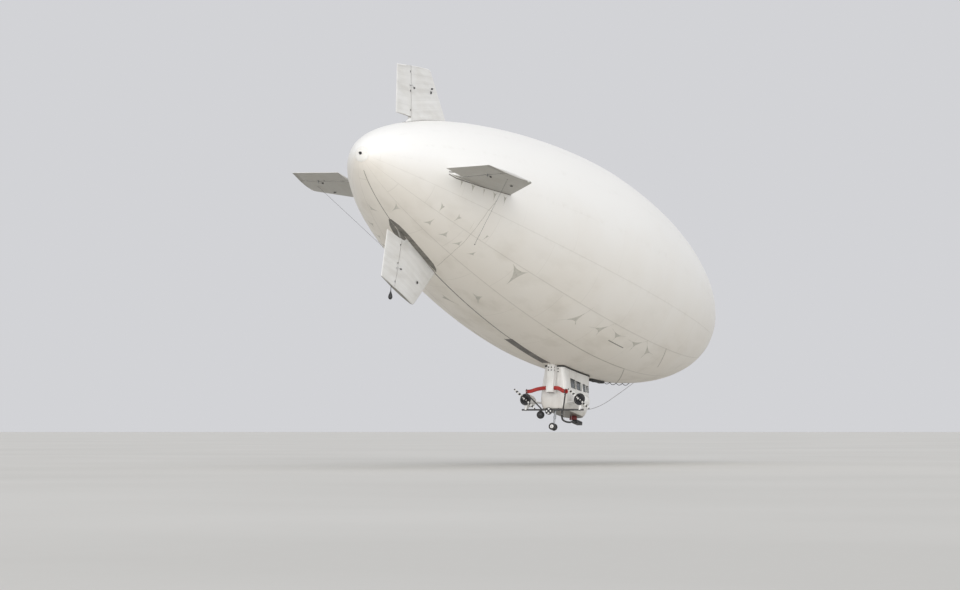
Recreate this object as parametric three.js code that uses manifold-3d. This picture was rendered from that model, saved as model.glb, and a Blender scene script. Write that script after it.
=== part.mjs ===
import * as THREE from 'three';
import { mergeVertices } from 'three/addons/utils/BufferGeometryUtils.js';
import { ConvexGeometry } from 'three/addons/geometries/ConvexGeometry.js';
import Module from 'manifold-3d';

// A small non-rigid airship moored by its nose, with its tail riding high.
// Millimetres. The ship is built level: x to starboard, y forward, z up, its axis on y.
// s is the distance aft of the envelope's nose, so a point at s has y = -s.

// Driving dimensions: envelope
const LENGTH = 39000;
const DIAMETER = 10000;
const FULLEST = 0.4491;            // fullest section, as a share of the length
const TAIL_POWER = 1.6423;         // the two powers that shape the tail taper
const TAIL_ROUND = 0.5906;
const SKIN = 10;
const NOSE_DOWN = THREE.MathUtils.degToRad(9.349);
const FIT = 0.3;                   // gap between pieces that touch
const ROUND = 36;                  // facets round the envelope
const STATIONS = 13;               // facets along each end of the envelope

// Driving dimensions: nose, tail and belly fittings
const SPINDLE = { reach: 300, flange: 130, neck: 45, head: 62 };
const NOSE_DISH = { s: 420, thickness: 40 };
const BATTEN = { count: 12, end: 2600, halfWidth: 45, thickness: 28 };
const TAIL_CAP = { radius: 330, thickness: 18, knob: 85, reach: 120 };
const KEEL_STRIP = { fore: 17950, aft: 22500, x: [-310, 70], thickness: 14 };
const VALVE = { fore: 11000, aft: 12700, halfWidth: 120, depth: 150 };

// Driving dimensions: one fin, upright. Corners as distance aft and height above the axis.
const FIN = {
  rootFore: [31060, 3380],
  tipFore: [33040, 5277],
  hingeTip: [35040, 4906],
  hingeRoot: [34680, 2728],
  filletAft: [35300, 2150],
  edge: 22,                        // half thicknesses
  rootRidge: 125,
  tipRidge: 75,
  hinge: 78,
  underRudder: 75,                 // drop from the rudder's foot to the fillet
};
const TIP_ROUNDING = { fore: 0.0778, aft: 0.1034 };   // shares of the two edges that meet there
const RUDDER = { tip: [36266, 4651], root: [36024, 2575], trailing: 12, barrel: 60 };
const HINGE = { rod: 15, bore: 15.9, eye: 34, lugHalf: 25, lugWidth: 20, slotHalf: 42 };
const HINGE_SHARES = [0.12, 0.5, 0.88];
const HORN = { share: 0.6, half: 7 };
const HORN_CORNERS = [
  // distance out, distance aft of the hinge; well aft, so that it clears the fin at full turn
  [30, 30],
  [30, 150],
  [190, 70],
  [190, 100],
];
const WEIGHT = { s: 35250, top: 4865, length: 600, radius: 92 };

// Driving dimensions: cabin
const WALL = 40;
const FLOOR = -7050;
const SILL = -6020;
const CEILING = -5060;
const CABIN_TOP = -4700;
const CABIN_LEVELS = [
  // height, half width, aft end, fore end
  [FLOOR, 560, 17080, 14250],
  [-6900, 640, 17100, 14050],
  [-6550, 700, 17100, 13950],
  [SILL, 665, 17155, 13820],
  [-5300, 542, 17235, 13645],
  [CABIN_TOP, 440, 17300, 13500],
];
const SIDE_WINDOWS = [
  // aft edge, fore edge, bottom at the aft edge, bottom at the fore edge, top
  [16520, 15880, -5930, -5900, -5480],
  [15780, 15180, -5900, -5870, -5480],
  [14950, 14560, -5850, -5820, -5480],
  [14470, 14170, -5810, -5780, -5480],
];
const DOOR_WINDOW = 1;             // the second window is the door's on the port side
const WINDSCREEN = { halfWidth: 440, bottom: -5900, top: -5400, aft: 14300 };
const PANE = { thickness: 5.7, bottom: -5960, top: -5440, screenTop: -5340, screenAft: 14410 };
const COLLAR = { band: 70, thickness: 25 };
const DOOR = { aft: 15820, fore: 15140, bottom: -6850, top: -5380, gap: 8, aftGap: 16 };
const DOOR_PIN = { s: 15132, x: -723, z: -6550, lean: 0.064, radius: 7, barrel: 17, half: 45 };
const DOOR_PIN_HEIGHTS = [-6480, -6080];
const SEATS = [
  // name, middle, half width, fore edge, depth, inset of the base
  ['pilot_seat', -300, 230, 14960, 480, 50],
  ['copilot_seat', 300, 230, 14960, 480, 50],
  ['rear_bench', 0, 570, 16380, 520, 120],
];
const SEAT = { base: -6760, cushionLow: -6780, cushionTop: -6640, backTop: -6060 };

// Driving dimensions: air system, power and landing gear
const PLENUM = { halfWidth: 180, fore: 17100, aft: 17650, wall: 30, bottom: -6350, port: 70 };
const HOSE = { radius: 92, wall: 12, start: [140, -17480, -6130], mouth: [1050, -18000, -6385] };
const STRUT = { radius: 34, footX: 540, ringShare: 0.965, ringWall: 24, ringHalf: 22 };
const BEAM = { s: 17080, z: -7110, radius: 42, half: 1600 };
const PROP = { x: 1400, s: 17300, z: -6620, radius: 757, hub: 100, tilt: 130 };
const BLADE = [
  // distance from the hub's middle, half chord, half thickness, pitch in degrees
  [60, 42, 20, 48],
  [260, 62, 12, 36],
  [560, 52, 8, 22],
  [PROP.radius, 34, 5, 16],
];
const COWL = { aft: 17190, fore: 16350, radius: 290, wall: 20, aftVent: 225, foreVent: 90 };
const ENGINE = { fore: 16480, aft: 17120, radius: 205, shaft: 45, foot: 263.3 };
const OUTRIGGER = { aft: 16980, fore: 16420, taper: 60, inner: 560, outer: 1300 };
const BALL = { x: -620, s: 17060, z: -7352, radius: 190, neck: 62 };
const REAR_BLOWER = { x: -155, z: -7190, radius: 168, fore: 17100, aft: 17255 };
const DRUM = { x: 160, s: 14860, radius: 185, topRadius: 160, bottom: -7235 };
const BLOWER_BOX = { x: [150, 430], y: [-14960, -14330], bottom: -7410 };
const BLACK_HOSE_RADIUS = 44;
const BLACK_HOSE = [
  // x, y, z along the run, from the beam down and forward to the blower's box
  [500, -17080, -7100],
  [500, -17095, -7250],
  [500, -17080, -7420],
  [485, -16960, -7540],
  [455, -16600, -7580],
  [400, -15900, -7520],
  [330, -15300, -7390],
  [300, -14900, -7330],
];
const GEAR = { s: 16760, trail: 60, axle: -7880, legEnd: -7390, leg: 55, flange: 150, fork: 62 };
const GEAR_TURN = -90;             // the free wheels stand athwart, with their axle fore and aft
const WHEEL = { radius: 172, tread: 168, tyre: 82, bore: 17, axle: 16, rim: 60, axleHalf: 205 };

const wasm = await Module();
wasm.setup();

// Solids, cuts and joins

function signedVolume(positions, indices) {
  let volume = 0;
  const corner = (i) => new THREE.Vector3().fromArray(positions, 3 * indices[i]);
  for (let i = 0; i < indices.length; i += 3) {
    volume += corner(i).dot(corner(i + 1).cross(corner(i + 2)));
  }
  return volume / 6;
}

function solid(geometry) {
  const bare = geometry.clone();
  bare.deleteAttribute('normal');
  bare.deleteAttribute('uv');
  const merged = mergeVertices(bare, 1e-4);
  const vertProperties = new Float32Array(merged.attributes.position.array);
  let triVerts = new Uint32Array(merged.index.array);
  const kept = [];
  for (let i = 0; i < triVerts.length; i += 3) {
    const [a, b, c] = triVerts.subarray(i, i + 3);
    if (a !== b && b !== c && c !== a) kept.push(a, b, c);
  }
  triVerts = new Uint32Array(kept);
  if (signedVolume(vertProperties, triVerts) < 0) {
    for (let i = 0; i < triVerts.length; i += 3) {
      const first = triVerts[i];
      triVerts[i] = triVerts[i + 1];
      triVerts[i + 1] = first;
    }
  }
  return new wasm.Manifold(new wasm.Mesh({ numProp: 3, vertProperties, triVerts }));
}

function geometryOf(body) {
  const mesh = body.getMesh();
  const geometry = new THREE.BufferGeometry();
  geometry.setAttribute('position', new THREE.BufferAttribute(mesh.vertProperties, 3));
  geometry.setIndex(new THREE.BufferAttribute(mesh.triVerts, 1));
  return geometry;
}

const joined = (first, ...others) => others.reduce((whole, part) => whole.add(part), first);

const hull = (points) => solid(new ConvexGeometry(points));

const point = (x, y, z) => new THREE.Vector3(x, y, z);

const radians = THREE.MathUtils.degToRad;

function block([x0, x1], [y0, y1], [z0, z1]) {
  const box = new THREE.BoxGeometry(x1 - x0, y1 - y0, z1 - z0);
  box.translate((x0 + x1) / 2, (y0 + y1) / 2, (z0 + z1) / 2);
  return solid(box);
}

function rod(from, to, radius, sides = 12, endRadius = radius) {
  const length = from.distanceTo(to);
  const cylinder = new THREE.CylinderGeometry(endRadius, radius, length, sides);
  cylinder.translate(0, length / 2, 0);
  const turn = new THREE.Quaternion().setFromUnitVectors(
    point(0, 1, 0), to.clone().sub(from).normalize());
  cylinder.applyQuaternion(turn);
  cylinder.translate(from.x, from.y, from.z);
  return solid(cylinder);
}

// A body of revolution about a fore-and-aft line through the centre, from [radius, y] pairs
function turned(profile, sides, centre = point(0, 0, 0)) {
  const lathe = new THREE.LatheGeometry(profile.map(([r, y]) => new THREE.Vector2(r, y)), sides);
  lathe.translate(centre.x, centre.y, centre.z);
  return solid(lathe);
}

const disc = (radius, fore, aft, sides, centre) => turned(
  [[0, -aft], [radius, -aft], [radius, -fore], [0, -fore]], sides, centre);

// A round bar swept along a curve
function sweep(radius, run, steps, sides) {
  const circle = new THREE.Shape().absarc(0, 0, radius, 0, Math.PI * 2, false);
  const outline = new THREE.Shape(circle.getPoints(sides / 2).slice(0, sides));
  return solid(new THREE.ExtrudeGeometry(outline, { steps, extrudePath: run }));
}

// Everything between two heights
const band = (from, to) => block([-3000, 3000], [-20000, -10000], [from, to]);

// Envelope: a body of revolution about y

function hullRadius(share) {
  if (share < FULLEST) {
    return (DIAMETER / 2) * Math.sqrt(1 - ((FULLEST - share) / FULLEST) ** 2);
  }
  const aft = (share - FULLEST) / (1 - FULLEST);
  return (DIAMETER / 2) * Math.max(0, 1 - aft ** TAIL_POWER) ** TAIL_ROUND;
}

function hullShares() {
  const shares = [];
  for (let i = 0; i <= STATIONS; i += 1) {
    shares.push(FULLEST * (1 - Math.cos((Math.PI / 2) * (i / STATIONS))));
  }
  for (let i = 1; i <= STATIONS; i += 1) {
    shares.push(FULLEST + (1 - FULLEST) * Math.sin((Math.PI / 2) * (i / STATIONS)));
  }
  return shares;
}

// The hull moved out by some distance, square to its skin
function hullBody(offset) {
  const step = 1e-4;
  const outline = hullShares().map((share) => {
    if (share < step) return [0, offset];
    if (share > 1 - step) return [0, -LENGTH - offset];
    const before = share - step;
    const after = Math.min(1, share + step);
    const along = (after - before) * LENGTH;
    const rise = hullRadius(after) - hullRadius(before);
    const size = Math.hypot(along, rise);
    return [hullRadius(share) + (offset * along) / size,
      -(share * LENGTH - (offset * rise) / size)];
  });
  return turned(outline, ROUND);
}

const clearOfHull = hullBody(FIT);

// A layer lying on the hull inside a given region
const hullLayer = (thickness, region) => hullBody(FIT + thickness)
  .intersect(region).subtract(clearOfHull);

const airPort = block([-110, 110], [-PLENUM.aft + 120, -PLENUM.fore - 120], [-5400, -4000]);
const envelope = hullBody(0).subtract(hullBody(-SKIN)).subtract(airPort);

// Nose: a dish with battens that spread the mooring load, and the mooring spindle

const battenSlab = block([-BATTEN.halfWidth, BATTEN.halfWidth], [-BATTEN.end, 100],
  [0, DIAMETER / 2]);
const battenStar = [];
for (let i = 0; i < BATTEN.count; i += 1) {
  battenStar.push(battenSlab.rotate([0, (360 / BATTEN.count) * i, 0]));
}
const noseBattens = joined(
  hullLayer(BATTEN.thickness, joined(...battenStar)),
  hullLayer(NOSE_DISH.thickness, disc(DIAMETER / 2, -SPINDLE.reach, NOSE_DISH.s, ROUND)),
);
const dishFace = FIT + NOSE_DISH.thickness;
const mooringSpindle = turned([
  [0, dishFace + FIT],
  [SPINDLE.flange, dishFace + FIT],
  [SPINDLE.flange, dishFace + 30],
  [SPINDLE.neck + 10, dishFace + 60],
  [SPINDLE.neck, SPINDLE.reach - 90],
  [SPINDLE.head, SPINDLE.reach - 70],
  [SPINDLE.head, SPINDLE.reach - 20],
  [SPINDLE.neck, SPINDLE.reach],
  [0, SPINDLE.reach],
], 16);

const tailCap = joined(
  hullLayer(TAIL_CAP.thickness, disc(TAIL_CAP.radius, LENGTH - 600, LENGTH + 400, 24)),
  turned([[0, -LENGTH - TAIL_CAP.reach], [TAIL_CAP.knob * 0.7, -LENGTH - TAIL_CAP.reach + 10],
    [TAIL_CAP.knob, -LENGTH - 5], [0, -LENGTH - 5]], 12),
);

// Fins. One fin stands upright in the plane x = 0, and the four are turned copies of it.

const finPoint = ([s, height], x = 0) => point(x, -s, height);
const onBothFaces = (corner, half) => [finPoint(corner, -half), finPoint(corner, half)];
const between = (a, b, share) => a.map((value, i) => value + (b[i] - value) * share);
const hingeTip = finPoint(FIN.hingeTip);
const hingeRoot = finPoint(FIN.hingeRoot);
const hingeAxis = hingeTip.clone().sub(hingeRoot).normalize();
const hingeLength = hingeTip.distanceTo(hingeRoot);
const onHinge = (distance) => hingeRoot.clone().addScaledVector(hingeAxis, distance);
const hingeRod = (middle, half, radius, sides) => rod(
  middle.clone().addScaledVector(hingeAxis, -half),
  middle.clone().addScaledVector(hingeAxis, half), radius, sides);

function roundedTip() {
  const before = between(FIN.tipFore, FIN.rootFore, TIP_ROUNDING.fore);
  const after = between(FIN.tipFore, FIN.hingeTip, TIP_ROUNDING.aft);
  return [0, 0.25, 0.5, 0.75, 1].map((t) => [0, 1].map((i) => (1 - t) ** 2 * before[i]
    + 2 * t * (1 - t) * FIN.tipFore[i] + t ** 2 * after[i]));
}

function finPlate() {
  const sections = [
    // corner, half thickness
    ...[FIN.rootFore, ...roundedTip(), FIN.hingeTip].map((corner) => [corner, FIN.edge]),
    [[31600, 2300], FIN.edge],
    [[33000, 2300], FIN.rootRidge],
    [[32500, 3600], FIN.rootRidge],
    [[34000, 4900], FIN.tipRidge],
    [[34800, 1500], FIN.hinge],
    [FIN.hingeTip, FIN.hinge - 10],
    [FIN.hingeRoot, FIN.hinge],
  ];
  return hull(sections.flatMap(([corner, half]) => onBothFaces(corner, half)));
}

// The piece of fixed fin that runs aft under the rudder's foot, down to the hull
function finFillet() {
  const top = FIN.hingeRoot[1] - FIN.underRudder;
  const sections = [
    // corner, half thickness
    [[34500, top], FIN.hinge - 12],
    [[34700, top - 5], FIN.hinge - 12],
    [FIN.filletAft, FIN.edge],
    [[35000, 1500], FIN.hinge - 12],
    [[34300, 1700], FIN.hinge - 12],
  ];
  return hull(sections.flatMap(([corner, half]) => onBothFaces(corner, half)));
}

function finSolid() {
  const recess = rod(onHinge(-60), onHinge(hingeLength + 200), RUDDER.barrel + 10, 24);
  const aftOfHinge = hull([-300, 300].flatMap((x) => [[-60, -15], [hingeLength + 200, -15],
    [hingeLength + 200, 1170], [-60, 1170]].map(([along, aft]) => {
    const corner = onHinge(along);
    return point(x, corner.y - aft, corner.z);
  })));
  let body = joined(finPlate().subtract(recess).subtract(aftOfHinge), finFillet());
  for (const share of HINGE_SHARES) {
    const middle = onHinge(hingeLength * share);
    const lug = hull([-HINGE.lugHalf, HINGE.lugHalf].flatMap((along) => {
      const end = middle.clone().addScaledVector(hingeAxis, along);
      return [-HINGE.lugWidth, HINGE.lugWidth].flatMap(
        (x) => [point(x, end.y, end.z), point(x, end.y + 120, end.z)]);
    }));
    body = body.add(joined(lug, hingeRod(middle, HINGE.lugHalf, HINGE.eye, 12)))
      .subtract(hingeRod(middle, HINGE.lugHalf + 5, HINGE.bore, 12));
  }
  return body.subtract(clearOfHull);
}

function rudderSolid() {
  const aft = new THREE.Vector3().crossVectors(point(1, 0, 0), hingeAxis);
  const barrel = [onHinge(0), onHinge(hingeLength)].flatMap((end) => {
    const ring = [];
    for (let degrees = 0; degrees < 360; degrees += 30) {
      ring.push(end.clone().add(point(RUDDER.barrel * Math.cos(radians(degrees)), 0, 0))
        .addScaledVector(aft, RUDDER.barrel * Math.sin(radians(degrees))));
    }
    return ring;
  });
  let body = hull([...barrel, ...onBothFaces(RUDDER.tip, RUDDER.trailing),
    ...onBothFaces(RUDDER.root, RUDDER.trailing)]);
  for (const share of HINGE_SHARES) {
    const middle = onHinge(hingeLength * share);
    body = body.subtract(hingeRod(middle, HINGE.slotHalf, RUDDER.barrel + 18, 12)
      .subtract(hingeRod(middle, HINGE.slotHalf + 6, HINGE.rod, 12)));
  }
  const hornFoot = onHinge(hingeLength * HORN.share);
  for (const side of [-1, 1]) {
    body = body.add(hull([-HORN.half, HORN.half].flatMap((along) => {
      const foot = hornFoot.clone().addScaledVector(hingeAxis, along);
      return HORN_CORNERS.map(([out, back]) => foot.clone().add(point(side * out, -back, 0)));
    })));
  }
  return body;
}

const fin = finSolid();
const rudder = rudderSolid();
const FIN_PLACES = [
  // fin name, control surface name, turn about the ship's axis
  ['upper_fin', 'upper_rudder', 0],
  ['starboard_fin', 'starboard_elevator', 90],
  ['lower_fin', 'lower_rudder', 180],
  ['port_fin', 'port_elevator', 270],
];

// The teardrop weight that stands on the rudder's tip edge; it belongs to the lower one
const tailWeight = turned([[0, 0], [14, 6], [16, 230], [WEIGHT.radius * 0.7, 360],
  [WEIGHT.radius, 470], [WEIGHT.radius * 0.75, 560], [0, WEIGHT.length]], 12)
  .rotate([90, 0, 0]).translate([0, -WEIGHT.s, WEIGHT.top]);

// Dark strip on the hull's keel, aft of the cabin, and the valve pad ahead of it

const keelStrip = hullLayer(KEEL_STRIP.thickness, block(
  KEEL_STRIP.x, [-KEEL_STRIP.aft, -KEEL_STRIP.fore],
  [-6000, -3000]));
const bellyValve = block([-VALVE.halfWidth, VALVE.halfWidth], [-VALVE.aft, -VALVE.fore],
  [-hullRadius(VALVE.aft / LENGTH) - VALVE.depth, -4000]).subtract(clearOfHull);

// Cabin: a hollow car hung under the hull, narrow at the top and full at the floor

function cabinOutline(halfWidth, aft, fore, inset) {
  const half = halfWidth - inset;
  const back = aft - inset;
  const front = fore + inset;
  const corner = Math.max(60, 190 - inset);
  const noseLength = 780;
  const outline = [];
  for (const degrees of [0, 30, 60, 90]) {
    const angle = radians(degrees);
    outline.push([half - corner + corner * Math.cos(angle),
      back - corner + corner * Math.sin(angle)]);
  }
  for (const degrees of [0, 15, 30, 45, 60, 75, 90]) {
    const angle = radians(degrees);
    outline.push([half * Math.cos(angle) ** 0.75,
      front + noseLength * (1 - Math.sin(angle) ** 0.75)]);
  }
  return outline.flatMap(([x, s]) => [[x, s], [-x, s]]);
}

function cabinBody(inset) {
  return hull(CABIN_LEVELS.flatMap(([height, halfWidth, aft, fore]) => {
    const z = height === FLOOR ? height + inset : height;
    return cabinOutline(halfWidth, aft, fore, inset).map(([x, s]) => point(x, -s, z));
  }));
}

const cabinOuter = cabinBody(0);
const cabinInner = cabinBody(WALL);
const cabinShell = cabinOuter.subtract(cabinInner);
const clearOfCabin = cabinBody(-FIT);

function windowPrism([aft, fore, bottomAft, bottomFore, top], side, grow = 0) {
  const corners = [[aft + grow, bottomAft - grow], [fore - grow, bottomFore - grow],
    [fore - grow, top + grow], [aft + grow, top + grow]];
  return hull([200, 2000].flatMap((x) => corners.map(([s, z]) => point(side * x, -s, z))));
}

const screenHole = block([-WINDSCREEN.halfWidth, WINDSCREEN.halfWidth],
  [-WINDSCREEN.aft, -13000], [WINDSCREEN.bottom, WINDSCREEN.top]);
const doorRegion = (gap, aftGap) => block([-2000, -100],
  [-DOOR.aft - aftGap, -DOOR.fore + gap], [DOOR.bottom - gap, DOOR.top + gap]);

let cabinWalls = cabinShell.subtract(screenHole).subtract(doorRegion(DOOR.gap, DOOR.aftGap));
SIDE_WINDOWS.forEach((opening, i) => {
  cabinWalls = cabinWalls.subtract(windowPrism(opening, 1));
  if (i !== DOOR_WINDOW) cabinWalls = cabinWalls.subtract(windowPrism(opening, -1));
});
const cabinTub = cabinWalls.intersect(band(-8000, SILL - FIT / 2));
const clearOfCollar = hullBody(2 * FIT + COLLAR.band);
const cabinCeiling = cabinBody(WALL + FIT).intersect(band(CEILING, CEILING + 30))
  .subtract(clearOfCollar);
const upperShell = cabinWalls.intersect(band(SILL + FIT / 2, CABIN_TOP)).subtract(clearOfCollar);
const [portShell, starboardShell] = [[-DIAMETER, -FIT / 2], [FIT / 2, DIAMETER]].map(
  (side) => upperShell.intersect(block(side, [-LENGTH, 0], [-DIAMETER, 0])));
const cabinCollar = cabinBody(-COLLAR.thickness).subtract(cabinInner)
  .intersect(hullBody(FIT + COLLAR.band)).subtract(clearOfHull);

// The door turns on a straight pin outside the wall, leaning in towards the top

const onDoorPin = (z) => point(DOOR_PIN.x + DOOR_PIN.lean * (z - DOOR_PIN.z), -DOOR_PIN.s, z);
const doorPin = (radius) => rod(onDoorPin(DOOR_PIN_HEIGHTS[0] - 2 * DOOR_PIN.half),
  onDoorPin(DOOR_PIN_HEIGHTS[1] + 2 * DOOR_PIN.half), radius, 12);
let portDoor = cabinShell.intersect(doorRegion(0, 0))
  .subtract(windowPrism(SIDE_WINDOWS[DOOR_WINDOW], -1, -20));
let doorHinge = doorPin(DOOR_PIN.radius);
for (const z of DOOR_PIN_HEIGHTS) {
  const ends = [-DOOR_PIN.half, DOOR_PIN.half].map((up) => onDoorPin(z + up));
  const tab = hull(ends.flatMap((end) => [[0, -8], [0, -16], [75, -20], [75, -75]]
    .map(([x, y]) => point(end.x + x, end.y + y, end.z))));
  portDoor = portDoor.add(joined(rod(...ends, DOOR_PIN.barrel, 12), tab));
  for (const up of [-DOOR_PIN.half - 12, DOOR_PIN.half + 12]) {
    const middle = onDoorPin(z + up);
    doorHinge = doorHinge.add(hull([-9, 9].flatMap((rise) => [[-14, -8], [-14, 10], [60, 20],
      [60, 90]].map(([x, y]) => point(middle.x + x, middle.y + y, middle.z + rise)))));
  }
}
portDoor = portDoor.subtract(doorPin(DOOR_PIN.radius + 0.6)).subtract(cabinInner);
doorHinge = doorHinge.subtract(clearOfCabin);

// Panes: sheets bonded inside the walls, one sheet behind each run of windows

const paneLayer = cabinBody(WALL + FIT).subtract(cabinBody(WALL + FIT + PANE.thickness));
const PANES = [
  // name, side, aft edge, fore edge
  ['starboard_glazing', 1, 16570, 14420],
  ['port_aft_glazing', -1, 16570, 15850],
  ['port_fore_glazing', -1, 15000, 14420],
  ['door_glazing', -1, 15790, 15170],
];
const paneSolid = (side, aft, fore) => paneLayer.intersect(block(
  side > 0 ? [120, 2000] : [-2000, -120], [-aft, -fore], [PANE.bottom, PANE.top]));
const windscreen = paneLayer.intersect(block([-900, 900], [-PANE.screenAft, -13000],
  [PANE.bottom, PANE.screenTop]));

// Inside: two seats, a bench and the instrument panel on its pedestal

const floorTop = FLOOR + WALL + FIT;

function seatSolid(middle, halfWidth, fore, depth, baseInset) {
  const x = [middle - halfWidth, middle + halfWidth];
  const y = [-fore - depth, -fore];
  const base = block([x[0] + baseInset, x[1] - baseInset], [y[0] + 60, y[1] - 60],
    [floorTop, SEAT.base]);
  const cushion = block(x, y, [SEAT.cushionLow, SEAT.cushionTop]);
  const back = hull([[130, SEAT.cushionTop - 60], [-10, SEAT.cushionTop - 60],
    [40, SEAT.backTop], [-60, SEAT.backTop]]
    .flatMap(([ahead, z]) => x.map((side) => point(side, y[0] + ahead, z))));
  return joined(base, cushion, back);
}

const instrumentPanel = joined(
  block([-430, 430], [-14620, -14500], [-6420, -6080]),
  block([-130, 130], [-14700, -14540], [floorTop, -6400]),
);

// Air plenum on the cabin's back, which feeds the hull, its two hoses and their scoop struts

const hoseStart = point(...HOSE.start);
const hoseMouth = point(...HOSE.mouth);
const plenumCore = block([-PLENUM.halfWidth + PLENUM.wall, PLENUM.halfWidth - PLENUM.wall],
  [-PLENUM.aft + PLENUM.wall, -PLENUM.fore - 190],
  [PLENUM.bottom + PLENUM.wall, CABIN_TOP + 100]);
const hosePorts = rod(point(-400, hoseStart.y, hoseStart.z), point(400, hoseStart.y, hoseStart.z),
  PLENUM.port);
const airPlenum = block([-PLENUM.halfWidth, PLENUM.halfWidth],
  [-PLENUM.aft, -PLENUM.fore - 160], [PLENUM.bottom, CABIN_TOP])
  .subtract(plenumCore).subtract(hosePorts).subtract(clearOfHull)
  .subtract(cabinBody(-COLLAR.thickness - FIT));

const hoseRun = new THREE.CatmullRomCurve3([
  hoseStart,
  hoseStart.clone().add(point(170, -10, 6)),
  point(600, -17720, -6225),
  hoseMouth.clone().add(point(-190, 95, 30)),
  hoseMouth,
]);
const hoseOf = (radius) => sweep(radius, hoseRun, 9, 12);
const hoseBore = HOSE.radius - HOSE.wall;
const mouthAlong = hoseRun.getTangentAt(1).multiplyScalar(8);
const openMouth = rod(hoseMouth.clone().sub(mouthAlong), hoseMouth.clone().add(mouthAlong),
  hoseBore + 1, 12);
const airHose = hoseOf(HOSE.radius).subtract(hoseOf(hoseBore)).subtract(openMouth)
  .intersect(block([PLENUM.halfWidth + FIT, 2000], [-19000, -17000], [-7000, -5000]));

// Power: a cross beam under the cabin's back; an outrigger, cowl, engine and propeller a side

const beamOf = (half, radius) => rod(point(-half, -BEAM.s, BEAM.z), point(half, -BEAM.s, BEAM.z),
  radius);
const engineBeam = beamOf(BEAM.half, BEAM.radius);
const clearOfBeam = beamOf(BEAM.half + 400, BEAM.radius + FIT);

const cowlCentre = point(PROP.x, 0, PROP.z);
const cowlSolid = (inset) => turned([
  [0, -COWL.aft + inset],
  [COWL.radius - inset, -COWL.aft + inset],
  [COWL.radius - inset, -COWL.fore - 330],
  [COWL.radius * 0.86 - inset, -COWL.fore - 130],
  [COWL.radius * 0.55 - inset * 0.6, -COWL.fore - 25 - inset * 0.5],
  [0, -COWL.fore - inset],
], 20, cowlCentre);
const pylon = hull([-60, 60].flatMap((x) => [[-COWL.aft + 60, PROP.z - 250],
  [-COWL.fore - 300, PROP.z - 250], [-BEAM.s - 60, BEAM.z - 20], [-BEAM.s + 160, BEAM.z - 20]]
  .map(([y, z]) => point(PROP.x + x, y, z))));
const cowl = joined(cowlSolid(0), pylon)
  .subtract(cowlSolid(COWL.wall))
  .subtract(disc(COWL.aftVent, COWL.aft - 60, COWL.aft + 50, 20, cowlCentre))
  .subtract(disc(COWL.foreVent, COWL.fore - 40, COWL.fore + 120, 16, cowlCentre))
  .subtract(clearOfBeam);
const engine = joined(
  rod(point(PROP.x, -ENGINE.fore, PROP.z), point(PROP.x, -ENGINE.aft, PROP.z),
    ENGINE.radius, 8),
  rod(point(PROP.x, -ENGINE.aft + 20, PROP.z), point(PROP.x, -PROP.s + 60 + FIT, PROP.z),
    ENGINE.shaft),
  block([PROP.x - 40, PROP.x + 40], [-16950, -16700], [PROP.z - ENGINE.foot, PROP.z - 150]),
);

function outriggerEnd(x, middle, low, high) {
  return [
    point(x, -OUTRIGGER.aft, middle),
    point(x, -OUTRIGGER.fore, middle),
    ...[OUTRIGGER.aft - OUTRIGGER.taper, OUTRIGGER.fore + OUTRIGGER.taper]
      .flatMap((s) => [point(x, -s, low), point(x, -s, high)]),
  ];
}

const outrigger = hull([...outriggerEnd(OUTRIGGER.inner, -6740, -6775, -6700),
  ...outriggerEnd(OUTRIGGER.outer, -6660, -6690, -6625)])
  .subtract(clearOfCabin)
  .subtract(disc(COWL.radius + FIT, 16000, 17700, 20, cowlCentre));

function bladeSolid(turn) {
  const sections = BLADE.map(([reach, chord, thick, pitch]) => {
    const angle = radians(pitch);
    const place = (c, t) => point(c * Math.cos(angle) - t * Math.sin(angle),
      c * Math.sin(angle) + t * Math.cos(angle), reach);
    return [place(-chord, 0), place(-chord * 0.2, thick), place(chord, 0),
      place(-chord * 0.2, -thick)];
  });
  const lengths = sections.slice(1).map((section, i) => hull([...sections[i], ...section]));
  return joined(...lengths).rotate([0, turn, 0]);
}

const propeller = joined(
  turned([[0, -95], [45, -85], [80, -40], [PROP.hub, 10], [PROP.hub, 60], [0, 60]], 16),
  bladeSolid(PROP.tilt),
  bladeSolid(PROP.tilt + 180),
);

// Scoop struts, from the beam up and aft to rings round the hoses' mouths
const ringMiddle = hoseRun.getPointAt(STRUT.ringShare);
const ringAlong = hoseRun.getTangentAt(STRUT.ringShare);
const ringDown = point(-0.45, 0, -1).projectOnPlane(ringAlong).normalize();
const ringHalf = ringAlong.clone().multiplyScalar(STRUT.ringHalf);
const scoopStrut = joined(
  rod(point(STRUT.footX, -BEAM.s, BEAM.z),
    ringMiddle.clone().addScaledVector(ringDown, HOSE.radius + 16), STRUT.radius, 8),
  rod(ringMiddle.clone().sub(ringHalf), ringMiddle.clone().add(ringHalf),
    HOSE.radius + STRUT.ringWall, 16),
).subtract(hoseOf(HOSE.radius + 0.5)).subtract(clearOfBeam);

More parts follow.
